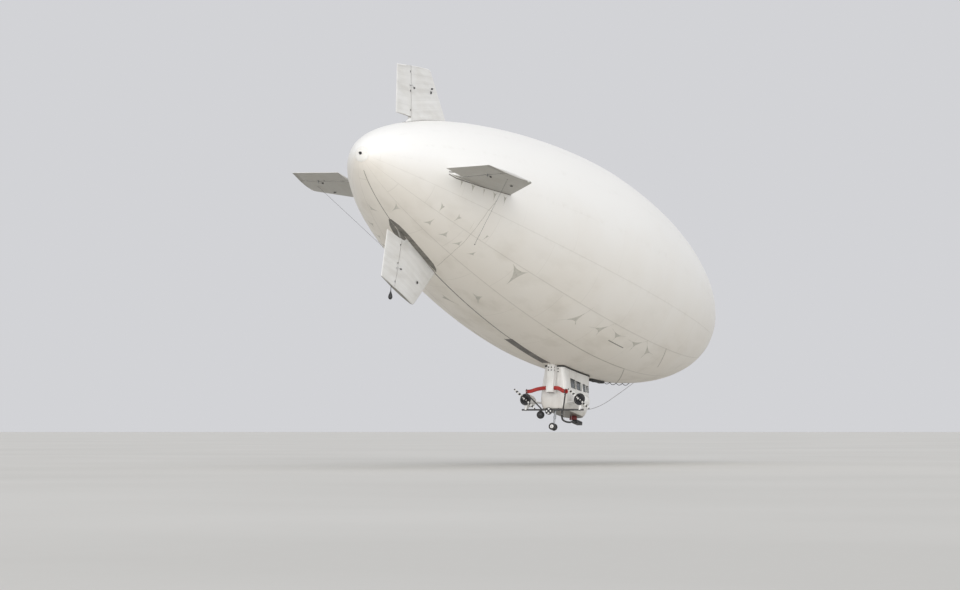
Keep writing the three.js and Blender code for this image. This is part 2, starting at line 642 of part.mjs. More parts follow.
// Fittings under the cabin's back: a black ball on a neck, and a round blower with its guard
const ballProfile = [];
for (let degrees = -67.5; degrees <= 67.5; degrees += 22.5) {
  ballProfile.push([BALL.radius * Math.cos(radians(degrees)),
    BALL.radius * Math.sin(radians(degrees))]);
}
const cameraBall = joined(
  turned([[0, -BALL.radius], ...ballProfile, [0, BALL.radius]], 16,
    point(BALL.x, -BALL.s, BALL.z)),
  rod(point(BALL.x, -BALL.s, BALL.z + 100), point(BALL.x, -BALL.s - 10, BEAM.z), BALL.neck),
).subtract(clearOfBeam);
const rearBlower = turned([
  [0, -REAR_BLOWER.aft],
  [60, -REAR_BLOWER.aft],
  [70, -REAR_BLOWER.aft + 50],
  [120, -REAR_BLOWER.aft + 50],
  [135, -REAR_BLOWER.aft],
  [REAR_BLOWER.radius, -REAR_BLOWER.aft + 10],
  [REAR_BLOWER.radius, -REAR_BLOWER.fore - 30],
  [120, -REAR_BLOWER.fore],
  [0, -REAR_BLOWER.fore],
], 20, point(REAR_BLOWER.x, 0, REAR_BLOWER.z)).subtract(clearOfBeam).subtract(clearOfCabin);

// Auxiliary blower under the fore cabin: a dark red drum on a black box, fed by a black hose
const blowerDrum = rod(point(DRUM.x, -DRUM.s, DRUM.bottom), point(DRUM.x, -DRUM.s, FLOOR - FIT),
  DRUM.radius, 16, DRUM.topRadius);
const blowerBox = block(BLOWER_BOX.x, BLOWER_BOX.y, [BLOWER_BOX.bottom, DRUM.bottom - FIT]);
const boxAndAhead = block([-100, 2000], [BLOWER_BOX.y[0] - FIT, -13000], [-8000, -7000]);
const blackHose = sweep(BLACK_HOSE_RADIUS,
  new THREE.CatmullRomCurve3(BLACK_HOSE.map((place) => point(...place))), 20, 8)
  .subtract(clearOfBeam).subtract(boxAndAhead);

// Landing gear: a fixed leg under the floor, a fork that swivels and a pair of wheels

const gearRod = (top, bottom, radius) => rod(point(0, -GEAR.s, top), point(0, -GEAR.s, bottom),
  radius, 16);
const gearLeg = joined(
  gearRod(FLOOR - FIT, GEAR.legEnd, GEAR.leg),
  gearRod(FLOOR - FIT, FLOOR - 45, GEAR.flange),
);
const axleMiddle = point(0, -GEAR.s - GEAR.trail, GEAR.axle);
const gearFork = joined(
  gearRod(GEAR.legEnd - FIT, GEAR.legEnd - 90, GEAR.fork),
  hull([-32, 32].flatMap((x) => [
    point(x, -GEAR.s - 45, GEAR.legEnd - 60),
    point(x, -GEAR.s + 45, GEAR.legEnd - 60),
    point(x, axleMiddle.y - 30, GEAR.axle - 20),
    point(x, axleMiddle.y + 30, GEAR.axle - 20),
  ])),
  rod(axleMiddle.clone().add(point(-WHEEL.axleHalf, 0, 0)),
    axleMiddle.clone().add(point(WHEEL.axleHalf, 0, 0)), WHEEL.axle),
);

// A wheel by the distance from the middle to its inner side; [radius, distance out] pairs
const wheelSolid = (start) => turned([
  [WHEEL.bore, 0],
  [WHEEL.rim, 0],
  [WHEEL.rim + 12, 12],
  [WHEEL.radius - 14, 6],
  [WHEEL.radius, 22],
  [WHEEL.radius, WHEEL.tyre - 22],
  [WHEEL.radius - 14, WHEEL.tyre - 6],
  [WHEEL.rim + 12, WHEEL.tyre - 12],
  [WHEEL.rim, WHEEL.tyre],
  [WHEEL.bore, WHEEL.tyre],
  [WHEEL.bore, 0],
], 24, point(0, start, 0)).rotate([0, 0, -90]).translate([0, axleMiddle.y, axleMiddle.z]);

const swivelled = (body) => body.translate([0, GEAR.s, 0]).rotate([0, 0, GEAR_TURN])
  .translate([0, -GEAR.s, 0]);
const starboardWheel = wheelSolid(WHEEL.tread / 2);

// Pieces, colours and finishes

const PAINT = {
  fabric: { color: 0xd9d6cd, roughness: 0.6, metalness: 0 },
  fin: { color: 0xc9c7c1, roughness: 0.65, metalness: 0 },
  white: { color: 0xe6e4df, roughness: 0.4, metalness: 0 },
  black: { color: 0x1c1c1e, roughness: 0.6, metalness: 0 },
  grey: { color: 0x55565a, roughness: 0.5, metalness: 0.3 },
  red: { color: 0xa8231f, roughness: 0.6, metalness: 0 },
  metal: { color: 0x9a9da1, roughness: 0.35, metalness: 0.9 },
  glass: { color: 0x2b3440, roughness: 0.1, metalness: 0 },
  seat: { color: 0x3b3f4a, roughness: 0.9, metalness: 0 },
};

const ship = new THREE.Group();

function piece(name, body, paint) {
  const mesh = new THREE.Mesh(geometryOf(body), new THREE.MeshStandardMaterial(PAINT[paint]));
  mesh.name = name;
  ship.add(mesh);
}

// A piece drawn for starboard, and its mirror image for port
function pair(name, body, paint) {
  piece(`starboard_${name}`, body, paint);
  piece(`port_${name}`, body.mirror([1, 0, 0]), paint);
}

piece('envelope', envelope, 'fabric');
piece('nose_battens', noseBattens, 'white');
piece('mooring_spindle', mooringSpindle, 'metal');
piece('tail_cap', tailCap, 'grey');
for (const [finName, surfaceName, turn] of FIN_PLACES) {
  piece(finName, fin.rotate([0, turn, 0]), 'fin');
  piece(surfaceName, rudder.rotate([0, turn, 0]), 'fin');
}
piece('tail_weight', tailWeight.rotate([0, 180, 0]), 'black');
piece('keel_strip', keelStrip, 'grey');
piece('belly_valve', bellyValve, 'black');
piece('cabin_collar', cabinCollar, 'black');
piece('port_upper_shell', portShell, 'white');
piece('starboard_upper_shell', starboardShell, 'white');
piece('cabin_ceiling', cabinCeiling, 'white');
piece('cabin_tub', cabinTub, 'white');
piece('port_door', portDoor, 'white');
piece('door_hinge', doorHinge, 'metal');
for (const [name, side, aft, fore] of PANES) {
  piece(name, paneSolid(side, aft, fore).subtract(screenHole), 'glass');
}
piece('windscreen', windscreen, 'glass');
for (const [name, ...sizes] of SEATS) piece(name, seatSolid(...sizes), 'seat');
piece('instrument_panel', instrumentPanel, 'black');
piece('air_plenum', airPlenum, 'white');
pair('air_hose', airHose, 'red');
pair('scoop_strut', scoopStrut, 'metal');
piece('engine_beam', engineBeam, 'metal');
pair('cowl', cowl, 'white');
pair('engine', engine, 'grey');
pair('outrigger', outrigger, 'white');
piece('starboard_propeller', propeller.translate([PROP.x, -PROP.s, PROP.z]), 'black');
piece('port_propeller', propeller.translate([-PROP.x, -PROP.s, PROP.z]), 'black');
piece('camera_ball', cameraBall, 'black');
piece('rear_blower', rearBlower, 'black');
piece('blower_drum', blowerDrum, 'red');
piece('blower_box', blowerBox, 'black');
piece('blower_hose', blackHose, 'black');
piece('gear_leg', gearLeg, 'metal');
piece('gear_fork', swivelled(gearFork), 'metal');
piece('starboard_wheel', swivelled(starboardWheel), 'black');
piece('port_wheel', swivelled(starboardWheel.mirror([1, 0, 0])), 'black');

ship.rotation.x = -NOSE_DOWN;
ship.position.set(0, -SPINDLE.reach * Math.cos(NOSE_DOWN), SPINDLE.reach * Math.sin(NOSE_DOWN));

const airship = new THREE.Group();
airship.add(ship);
airship.updateMatrixWorld(true);

export default airship;
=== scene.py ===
import math

import bmesh
import bpy
import numpy as np
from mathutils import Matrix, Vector


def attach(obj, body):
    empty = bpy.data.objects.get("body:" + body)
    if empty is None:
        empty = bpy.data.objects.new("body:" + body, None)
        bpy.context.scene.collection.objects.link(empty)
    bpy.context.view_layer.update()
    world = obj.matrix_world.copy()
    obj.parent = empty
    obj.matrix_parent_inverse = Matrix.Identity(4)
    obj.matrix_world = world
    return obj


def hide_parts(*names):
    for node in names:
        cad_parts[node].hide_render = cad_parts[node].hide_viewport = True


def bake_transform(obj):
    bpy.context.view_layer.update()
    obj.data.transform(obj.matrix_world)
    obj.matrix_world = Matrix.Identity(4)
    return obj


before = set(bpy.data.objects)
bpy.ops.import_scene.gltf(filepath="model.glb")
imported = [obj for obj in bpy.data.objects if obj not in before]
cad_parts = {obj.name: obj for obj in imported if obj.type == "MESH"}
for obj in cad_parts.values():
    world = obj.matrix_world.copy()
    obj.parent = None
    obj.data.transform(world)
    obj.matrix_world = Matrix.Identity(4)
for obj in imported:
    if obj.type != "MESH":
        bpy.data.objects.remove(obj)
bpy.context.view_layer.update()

scene = bpy.context.scene
scene.view_settings.view_transform = "Standard"


# Camera, light and floor. A long lens stands at eye height behind the ship's starboard side, and
# looks up at it under an overcast sky: pale all round, brighter overhead. The floor is 1.7 m
# below the lens, so the wheels hang 1.66 m above it.

LENS_PLACE = (56.065, -150.393, -5.159)
LENS_WAY = (-0.41245, 0.90987, 0.04496)
EYE_HEIGHT = 1.7
FLOOR_RADIUS = 2400.0

lens = bpy.data.objects.new("camera", bpy.data.cameras.new("camera"))
lens.data.lens = 112.5
lens.data.sensor_width = 36.0
lens.data.clip_end = 6000.0
lens.location = LENS_PLACE
lens.rotation_euler = Vector(LENS_WAY).to_track_quat("-Z", "Y").to_euler()
scene.collection.objects.link(lens)
scene.camera = lens

sky = bpy.data.worlds.new("overcast sky")
sky.use_nodes = True
sky.node_tree.nodes["Background"].inputs["Color"].default_value = (0.68, 0.685, 0.71, 1.0)
sky.node_tree.nodes["Background"].inputs["Strength"].default_value = 0.95
scene.world = sky

for name, strength, width, turn in [
    # name, strength, width in degrees, turn about each axis
    ("high cloud", 0.45, 70.0, (0.25, 0.42, 0.0)),
    ("low cloud", 2.5, 60.0, (1.4, 0.0, 0.35)),
]:
    light = bpy.data.objects.new(name, bpy.data.lights.new(name, "SUN"))
    light.data.energy = strength
    light.data.angle = math.radians(width)
    light.rotation_euler = turn
    scene.collection.objects.link(light)


class Tree:
    """A node tree written as it is worked: each call adds one node and gives its output."""

    def __init__(self, tree):
        self.tree = tree

    def node(self, kind, fed=None, out=0, **settings):
        made = self.tree.nodes.new(kind)
        for key, value in settings.items():
            setattr(made, key, value)
        for key, value in (fed or {}).items():
            if isinstance(value, bpy.types.NodeSocket):
                self.tree.links.new(value, made.inputs[key])
            else:
                made.inputs[key].default_value = value
        return made.outputs[out]

    def times(self, a, b):
        return self.sum("MULTIPLY", a, b)

    def less(self, a, b):
        return self.sum("SUBTRACT", a, b)

    def patchy(self, place, scale, detail, light, dark, stretch=None):
        """Two tones in soft patches."""
        patches = self.cloud(place, scale, detail, stretch)
        return self.mixed(self.spread(patches, 0.35, 0.65), light, dark)

    def stained(self, place, scale, low, high, amount, tone, stain, stretch=None):
        """The tone with a stain of some strength in cloudy places."""
        cloud = self.cloud(place, scale, 6.0, stretch)
        return self.mixed(self.spread(cloud, low, high, 0.0, amount), tone, stain)

    def sum(self, operation, *values):
        return self.node("ShaderNodeMath", dict(enumerate(values)), operation=operation)

    def spread(self, value, low, high, to_low=0.0, to_high=1.0):
        fed = dict(enumerate((value, low, high, to_low, to_high)))
        return self.node("ShaderNodeMapRange", fed)

    def mixed(self, share, first, second):
        colours = [(*c, 1.0) if isinstance(c, tuple) else c for c in (first, second)]
        return self.node("ShaderNodeMix", {0: share, 6: colours[0], 7: colours[1]}, out=2,
                         data_type="RGBA")

    def parts(self, vector):
        made = self.tree.nodes.new("ShaderNodeSeparateXYZ")
        self.tree.links.new(vector, made.inputs[0])
        return made.outputs

    def cloud(self, place, scale, detail=3.0, stretch=None):
        if stretch:
            place = self.node("ShaderNodeMapping", {"Vector": place, "Scale": stretch})
        return self.node("ShaderNodeTexNoise", {"Vector": place, "Scale": scale, "Detail": detail})


TILT = math.radians(9.349)
SPINDLE_REACH = 0.3


def started(name):
    """A new finish: material, tree, shader, and the place read in the ship's own frame."""
    material = bpy.data.materials.new(name)
    material.use_nodes = True
    t = Tree(material.node_tree)
    place = t.node("ShaderNodeMapping", {
        "Vector": t.node("ShaderNodeTexCoord", out="Object"),
        "Rotation": (TILT, 0.0, 0.0), "Location": (0.0, SPINDLE_REACH, 0.0)})
    return material, t, material.node_tree.nodes["Principled BSDF"], place


def fine_coat(t, shader, place, colour, gloss, grain, bump, deep, height=None):
    """Ends a finish: colour, and fine grain in its gloss and in its bump."""
    grains = t.cloud(place, grain)
    t.tree.links.new(colour, shader.inputs["Base Color"])
    t.tree.links.new(t.spread(grains, 0.3, 0.7, *gloss), shader.inputs["Roughness"])
    height = grains if height is None else t.sum("MULTIPLY_ADD", grains, 0.3, height)
    bumped = t.node("ShaderNodeBump", {"Strength": bump, "Distance": deep, "Height": height})
    t.tree.links.new(bumped, shader.inputs["Normal"])


GRAIN_DEPTH = 0.001


def finish(name, light, dark, patch=3.0, grime=(0.25, 0.22, 0.18), dirty=0.3, gloss=(0.4, 0.6),
           grain=220.0, bump=0.25, metal=0.0, coat=0.0, stretch=(1.0, 1.0, 1.0), weave=0.0):
    """A worn finish: two tones in patches, grime over part of it, grain, and a weave on cloth."""
    material, t, shader, place = started(name)
    tone = t.patchy(place, patch, 5.0, light, dark, stretch)
    soiled = t.spread(t.cloud(place, patch * 2.7, 6.0, stretch), 0.52, 0.72, 0.0, dirty)
    height = None
    if weave:
        threads = [t.node("ShaderNodeTexWave", {"Vector": place, "Scale": weave, "Detail": 0.0},
                          out="Fac", bands_direction=axis) for axis in "XYZ"]
        height = t.sum("ADD", t.sum("ADD", threads[0], threads[1]), threads[2])
    fine_coat(t, shader, place, t.mixed(soiled, tone, grime), gloss, grain, bump, GRAIN_DEPTH,
              height)
    shader.inputs["Metallic"].default_value = metal
    shader.inputs["Coat Weight"].default_value = coat
    return material


def full_turn(count):
    """Even steps once round, in radians."""
    return np.linspace(0, 2 * math.pi, count, endpoint=False)


FLOOR_HEIGHT = LENS_PLACE[2] - EYE_HEIGHT
floor_points = [(FLOOR_RADIUS * math.cos(a), FLOOR_RADIUS * math.sin(a), FLOOR_HEIGHT)
                for a in full_turn(64)]
floor_mesh = bpy.data.meshes.new("floor")
floor_mesh.from_pydata(floor_points, [], [tuple(range(64))])
floor_mesh.materials.append(finish(
    "pale floor", (0.62, 0.61, 0.58), (0.58, 0.57, 0.54), patch=0.05, dirty=0.0, gloss=(0.8, 0.9),
    grain=3.0, bump=0.05))
floor = bpy.data.objects.new("floor", floor_mesh)
scene.collection.objects.link(floor)


# Envelope: coated polyester cloth, cut as fifteen long gores, welded edge to edge and blown tight
# by the gas. Each gore stands a little proud of its seams. Rain and dust have left the belly
# beige and streaked, and the back is still nearly white.

LENGTH = 39.0
DIAMETER = 10.0
FULLEST = 0.4491
TAIL_POWER = 1.6423
TAIL_ROUND = 0.5906
GORES = 15
LOBE = 0.012
PANELS = 9
PANEL_SHIFT = 0.37


def grower(name, wanted):
    """A Geometry Nodes tree with geometry in and out and the named inputs that are wanted."""
    tree = bpy.data.node_groups.new(name, "GeometryNodeTree")
    tree.interface.new_socket("Geometry", in_out="INPUT", socket_type="NodeSocketGeometry")
    tree.interface.new_socket("Geometry", in_out="OUTPUT", socket_type="NodeSocketGeometry")
    for label, kind in wanted.items():
        tree.interface.new_socket(label, in_out="INPUT", socket_type="NodeSocket" + kind)
    return Tree(tree), tree.nodes.new("NodeGroupInput").outputs


def given(t, geometry, material):
    """The end of every tree: real geometry with its finish."""
    real = t.node("GeometryNodeRealizeInstances", {"Geometry": geometry})
    finished = t.node("GeometryNodeSetMaterial", {"Geometry": real, "Material": material})
    t.tree.links.new(finished, t.tree.nodes.new("NodeGroupOutput").inputs[0])
    return t.tree


def grown(name, tree, sizes, mesh=None):
    """The plain mesh that a tree makes from a mesh and the sizes for its inputs."""
    holder = bpy.data.objects.new(name, mesh or bpy.data.meshes.new(name))
    modifier = holder.modifiers.new("grown", "NODES")
    modifier.node_group = tree
    for socket in tree.interface.items_tree:
        if socket.in_out == "INPUT" and socket.name in sizes:
            modifier[socket.identifier] = sizes[socket.name]
    scene.collection.objects.link(holder)
    return settled(holder)


def settled(piece):
    """The same piece with its modifiers worked into a plain mesh."""
    depsgraph = bpy.context.evaluated_depsgraph_get()
    plain = bpy.data.meshes.new_from_object(
        piece.evaluated_get(depsgraph), preserve_all_data_layers=True, depsgraph=depsgraph)
    piece.modifiers.clear()
    piece.data = plain
    return piece


def smoothed(mesh, sharp):
    """Doubles merged, faces turned outwards, smooth but for edges sharper than an angle."""
    work = bmesh.new()
    work.from_mesh(mesh)
    bmesh.ops.remove_doubles(work, verts=work.verts, dist=2e-5)
    bmesh.ops.dissolve_degenerate(work, edges=work.edges, dist=1e-6)
    bmesh.ops.recalc_face_normals(work, faces=work.faces)
    for face in work.faces:
        face.smooth = True
    work.to_mesh(mesh)
    work.free()
    mesh.set_sharp_from_angle(angle=math.radians(sharp))


def hung(piece, body, stands_for=()):
    """The piece rides its body and stands for its CAD nodes."""
    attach(piece, body)
    if stands_for:
        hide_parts(*stands_for)
    return piece


t, size = grower("hull of revolution", {
    "Length": "Float", "Diameter": "Float", "Fullest": "Float", "Tail power": "Float",
    "Tail round": "Float", "Gores": "Int", "Lobe": "Float", "Columns": "Int", "Rings": "Int",
    "Tilt": "Float", "Cloth": "Material"})
grid = t.tree.nodes.new("GeometryNodeMeshGrid")
t.tree.links.new(size["Columns"], grid.inputs["Vertices X"])
t.tree.links.new(size["Rings"], grid.inputs["Vertices Y"])
across, along, _ = t.parts(t.node("GeometryNodeInputPosition"))
across = t.sum("ADD", across, 0.5)
along = t.sum("ADD", along, 0.5)
share = t.sum("MULTIPLY_ADD", t.sum("COSINE", t.times(along, math.pi)), -0.5, 0.5)
ahead = t.sum("DIVIDE", t.less(size["Fullest"], share), size["Fullest"])
ahead = t.sum("MAXIMUM", ahead, 0.0)
fore_round = t.sum("SQRT", t.less(1.0, t.times(ahead, ahead)))
behind = t.sum("DIVIDE", t.less(share, size["Fullest"]),
               t.less(1.0, size["Fullest"]))
behind = t.sum("POWER", t.sum("MAXIMUM", behind, 0.0), size["Tail power"])
taper = t.sum("POWER", t.sum("MAXIMUM", t.less(1.0, behind), 0.0), size["Tail round"])
fullness = t.times(fore_round, taper)
gore = t.sum("FRACT", t.times(across, size["Gores"]))
dip = t.less(1.0, t.sum("SINE", t.times(gore, math.pi)))
dip = t.times(dip, size["Lobe"])
radius = t.less(t.times(size["Diameter"], 0.5), dip)
radius = t.times(radius, fullness)
angle = t.times(across, 2 * math.pi)
skin_place = t.node("ShaderNodeCombineXYZ", {
    0: t.times(radius, t.sum("SINE", angle)),
    1: t.times(share, t.times(size["Length"], -1.0)),
    2: t.times(radius, t.times(t.sum("COSINE", angle), -1.0))})
charted = t.node("GeometryNodeStoreNamedAttribute", {
    "Geometry": grid.outputs["Mesh"], "Name": "chart", "Value": grid.outputs["UV Map"]},
    data_type="FLOAT2", domain="CORNER")
skin = t.node("GeometryNodeSetPosition", {"Geometry": charted, "Position": skin_place})
skin = t.node("GeometryNodeMergeByDistance", {"Geometry": skin, "Distance": 1e-4})
turn = t.node("ShaderNodeCombineXYZ", {0: t.times(size["Tilt"], -1.0)})
shift = t.node("ShaderNodeCombineXYZ", {
    1: t.times(t.sum("COSINE", size["Tilt"]), -SPINDLE_REACH),
    2: t.times(t.sum("SINE", size["Tilt"]), SPINDLE_REACH)})
skin = t.node("GeometryNodeTransform", {"Geometry": skin, "Translation": shift, "Rotation": turn})
hull_tree = given(t, skin, size["Cloth"])

hull_cloth, t, shader, place = started("hull cloth")
chart = t.parts(t.node("ShaderNodeUVMap", uv_map="chart"))
downward = t.sum("COSINE", t.times(chart[0], 2 * math.pi))
aft_share = t.sum("MULTIPLY_ADD", t.sum("COSINE", t.times(chart[1], math.pi)), -0.5, 0.5)
blotches = t.cloud(place, 0.35, 5.0)
low = t.sum("MULTIPLY_ADD", t.less(blotches, 0.5), 0.7, downward)
tone = t.mixed(t.spread(low, -0.3, 0.9), (0.88, 0.87, 0.84), (0.79, 0.745, 0.67))
streaks = t.cloud(place, 1.3, 6.0, (1.0, 0.35, 1.0))
streaks = t.times(t.spread(streaks, 0.5, 0.75), t.spread(low, 0.2, 1.0, 0.0, 0.35))
tone = t.mixed(streaks, tone, (0.50, 0.455, 0.37))
gore_place = t.sum("FRACT", t.times(chart[0], float(GORES)))
from_seam = t.sum("MINIMUM", gore_place, t.less(1.0, gore_place))
gore_number = t.sum("FLOOR", t.times(chart[0], float(GORES)))
panel_place = t.sum("FRACT", t.sum("MULTIPLY_ADD", aft_share, float(PANELS),
                                   t.times(gore_number, PANEL_SHIFT)))
from_ring = t.sum("MINIMUM", panel_place, t.less(1.0, panel_place))
weld = t.sum("MAXIMUM", t.spread(from_seam, 0.008, 0.016, 1.0, 0.0),
             t.spread(from_ring, 0.003, 0.006, 0.5, 0.0))
near_seam = t.spread(from_seam, 0.0, 0.12, 1.0, 0.0)
seam_dirt = t.times(weld, t.spread(low, -0.1, 0.9, 0.0, 0.36))
tone = t.mixed(seam_dirt, tone, (0.36, 0.33, 0.28))
dust = t.times(near_seam, t.spread(t.cloud(place, 2.6, 5.0), 0.5, 0.8, 0.0, 0.16))
tone = t.mixed(dust, tone, (0.48, 0.44, 0.37))
ripples = t.node("ShaderNodeTexWave", {
    "Vector": t.node("ShaderNodeCombineXYZ", {1: t.times(aft_share, LENGTH)}),
    "Scale": 0.55, "Distortion": 2.5, "Detail": 2.0}, out="Fac", bands_direction="Y")
ripples = t.times(ripples, t.times(near_seam, 0.5))
hull_relief = t.sum("ADD", ripples, t.times(weld, 0.25))
fine_coat(t, shader, place, tone, (0.42, 0.58), 90.0, 0.5, 0.006, hull_relief)

envelope = grown("hull_envelope", hull_tree, {
    "Length": LENGTH, "Diameter": DIAMETER, "Fullest": FULLEST, "Tail power": TAIL_POWER,
    "Tail round": TAIL_ROUND, "Gores": GORES, "Lobe": LOBE, "Columns": GORES * 12 + 1,
    "Rings": 181, "Tilt": TILT, "Cloth": hull_cloth})
smoothed(envelope.data, 60.0)
hung(envelope, "airframe", ["envelope"])


# Tapes, load patches and the belly's net: strips and three-cornered patches of thicker cloth,
# glued on the hull over its seams and where the inside curtains pull on the skin. A dark tape runs
# along the keel, and a wide strip of grey net lies behind the cabin.

TAPE_SUNK = 0.010
PATCH_SUNK = 0.009


def placed(points):
    """Ship points (x to starboard, y ahead along the axis, z up) in the row's frame."""
    x, y, z = np.atleast_2d(np.asarray(points, float)).T
    c, s = math.cos(TILT), math.sin(TILT)
    return np.column_stack([x, y * c + z * s - SPINDLE_REACH * c,
                            z * c - y * s + SPINDLE_REACH * s])


def hull_radius(share):
    """The hull's radius at a share of its length from the nose."""
    ahead = max(0.0, (FULLEST - share) / FULLEST)
    behind = max(0.0, (share - FULLEST) / (1 - FULLEST))
    taper = max(0.0, 1 - behind ** TAIL_POWER) ** TAIL_ROUND
    return DIAMETER / 2 * math.sqrt(max(0.0, 1 - ahead * ahead)) * taper


def on_hull(s, degrees, proud=0.0):
    """A point s metres aft of the nose, at an angle from the keel towards starboard."""
    share = s / LENGTH
    radius = hull_radius(share)
    slope = (hull_radius(share + 1e-4) - hull_radius(share - 1e-4)) / (2e-4 * LENGTH)
    size = math.hypot(1.0, slope)
    dip = 1 - math.sin(math.pi * ((degrees / 360 * GORES) % 1.0))
    radius *= 1 - LOBE * dip / (DIAMETER / 2)
    radius += proud / size
    a = math.radians(degrees)
    return np.array([radius * math.sin(a), proud * slope / size - s, -radius * math.cos(a)])


class Shape:
    """Points and faces in ship coordinates, gathered until they are made one piece."""

    def __init__(self):
        self.points, self.faces, self.charts, self.finishes = [], [], [], []
        self.finish = 0

    def add(self, points, faces, chart=None):
        start = len(self.points)
        self.points.extend(tuple(map(float, p)) for p in points)
        for number, face in enumerate(faces):
            self.faces.append([start + i for i in face])
            self.charts.append(chart[number] if chart else [(0.0, 0.0)] * len(face))
            self.finishes.append(self.finish)
        return self

    def loft(self, rings, capped=True, closed=False):
        """A skin over a row of rings that have the same number of points."""
        rings = np.asarray(rings, float)
        count, around = rings.shape[:2]
        faces, chart = [], []
        for i in range(count if closed else count - 1):
            for j in range(around):
                k, m = (i + 1) % count, (j + 1) % around
                faces.append((i * around + j, i * around + m, k * around + m, k * around + j))
                u, v = (j / around, (j + 1) / around), (i / (count - 1), (i + 1) / (count - 1))
                chart.append([(u[0], v[0]), (u[1], v[0]), (u[1], v[1]), (u[0], v[1])])
        if capped and not closed:
            faces += [tuple(range(around))[::-1],
                      tuple((count - 1) * around + j for j in range(around))]
            chart += [[(0.5, 0.0)] * around, [(0.5, 1.0)] * around]
        return self.add(rings.reshape(-1, 3), faces, chart)

    def bar(self, path, radii, sides=12, closed=False):
        """A round bar along a path; radii is one number, or one for each point."""
        path = np.asarray(path, float)
        ends = np.roll(path, -1, 0) - np.roll(path, 1, 0) if closed else np.gradient(path, axis=0)
        helper = np.array([0.31, 0.22, 0.93])
        angles = full_turn(sides)[:, None]
        rings = []
        for place, way, radius in zip(path, ends, np.broadcast_to(radii, len(path))):
            way = way / np.linalg.norm(way)
            helper = helper - way * (helper @ way)
            helper = helper / np.linalg.norm(helper)
            other = np.cross(way, helper)
            rings.append(place + radius * (np.cos(angles) * helper + np.sin(angles) * other))
        return self.loft(rings, closed=closed)

    def turned(self, profile, centre, axis, sides=32, closed=False):
        """A turned body from (radius, distance along the axis) pairs; closed makes it hollow."""
        axis = np.array(axis, float) / np.linalg.norm(axis)
        side = np.cross(axis, (0.3, 0.5, 0.8))
        side /= np.linalg.norm(side)
        other = np.cross(axis, side)
        angles = full_turn(sides)[:, None]
        around = np.cos(angles) * side + np.sin(angles) * other
        return self.loft([np.array(centre) + along * axis + radius * around
                          for radius, along in profile], closed=closed)

    def drum(self, hole, radius, half, bevel, centre, axis, sides):
        """A turned collar with bevelled rims; bevel is (off the radius, off the half length)."""
        off, back = bevel
        return self.turned([(hole, -half), (radius - off, -half), (radius, back - half),
                            (radius, half - back), (radius - off, half), (hole, half)],
                           centre, axis, sides, closed=hole > 0)

    def block(self, low, high, rounding=0.01, steps=3):
        """A box with every edge and corner rounded."""
        low, high = np.array(low, float), np.array(high, float)
        rounding = min(rounding, 0.49 * float(min(high - low)))
        rings = []
        for end in (0, 1):
            for step in range(steps + 1):
                a = math.pi / 2 * (step if end == 0 else steps - step) / steps
                inset = rounding * (1 - math.sin(a))
                z = low[2] + rounding * (1 - math.cos(a)) if end == 0 else (
                    high[2] - rounding * (1 - math.cos(a)))
                x0, y0, x1, y1 = low[0] + inset, low[1] + inset, high[0] - inset, high[1] - inset
                flat = rounded([(x0, y0), (x1, y0), (x1, y1), (x0, y1)],
                               max(rounding - inset, 1e-5))
                rings.append(np.column_stack([flat, np.full(len(flat), z)]))
        return self.loft(rings)


def bent(start, bend, end, share):
    """A point on the curve that leaves start towards bend and comes from bend to end."""
    return (1 - share) ** 2 * start + 2 * share * (1 - share) * bend + share ** 2 * end


def rounded(corners, radius, steps=4):
    """A closed flat outline through the corners, each of them rounded off."""
    corners = [np.array(c, float) for c in corners]
    outline = []
    for i, corner in enumerate(corners):
        before, after = corners[i - 1], corners[(i + 1) % len(corners)]
        start, end = [corner + (to - corner) * min(0.5, radius / np.linalg.norm(to - corner))
                      for to in (before, after)]
        outline += [bent(start, corner, end, share) for share in np.linspace(0, 1, steps + 1)]
    return np.array(outline)


def made(name, shape, finishes, slot, body="airframe", stands_for=(), sharp=35.0):
    """A piece of the airship from its shape and finishes, on its body."""
    mesh = bpy.data.meshes.new(name)
    mesh.from_pydata(placed(shape.points), [], shape.faces)
    chart = mesh.uv_layers.new(name="chart")
    chart.data.foreach_set("uv", [v for face in shape.charts for uv in face for v in uv])
    mesh.polygons.foreach_set("material_index", shape.finishes)
    for material in finishes:
        mesh.materials.append(material)
    smoothed(mesh, sharp)
    piece = bpy.data.objects.new(name, mesh)
    scene.collection.objects.link(piece)
    return hung(piece, body, stands_for) if slot else piece


def tape(shape, path, width, proud=0.003, spacing=0.2, bowed=0.0):
    """A strip of cloth along a path of (s, degrees) places on the hull."""
    places = [path[0]]
    for start, end in zip(path, path[1:]):
        span = np.linalg.norm(on_hull(*end) - on_hull(*start))
        for share in np.linspace(0, 1, max(2, int(span / spacing) + 1))[1:]:
            places.append(tuple(a + (b - a) * share for a, b in zip(start, end)))
    middles = np.array([on_hull(*p) for p in places])
    ways = np.gradient(middles, axis=0)
    rings = []
    for (s, degrees), middle, way in zip(places, middles, ways):
        out = on_hull(s, degrees, 1.0) - middle
        side = np.cross(out, way)
        side *= width / 2 / np.linalg.norm(side)
        rings.append([middle - side - out * TAPE_SUNK, middle - side + out * proud,
                      middle + out * (proud + bowed), middle + side + out * proud,
                      middle + side - out * TAPE_SUNK])
    return shape.loft(rings)


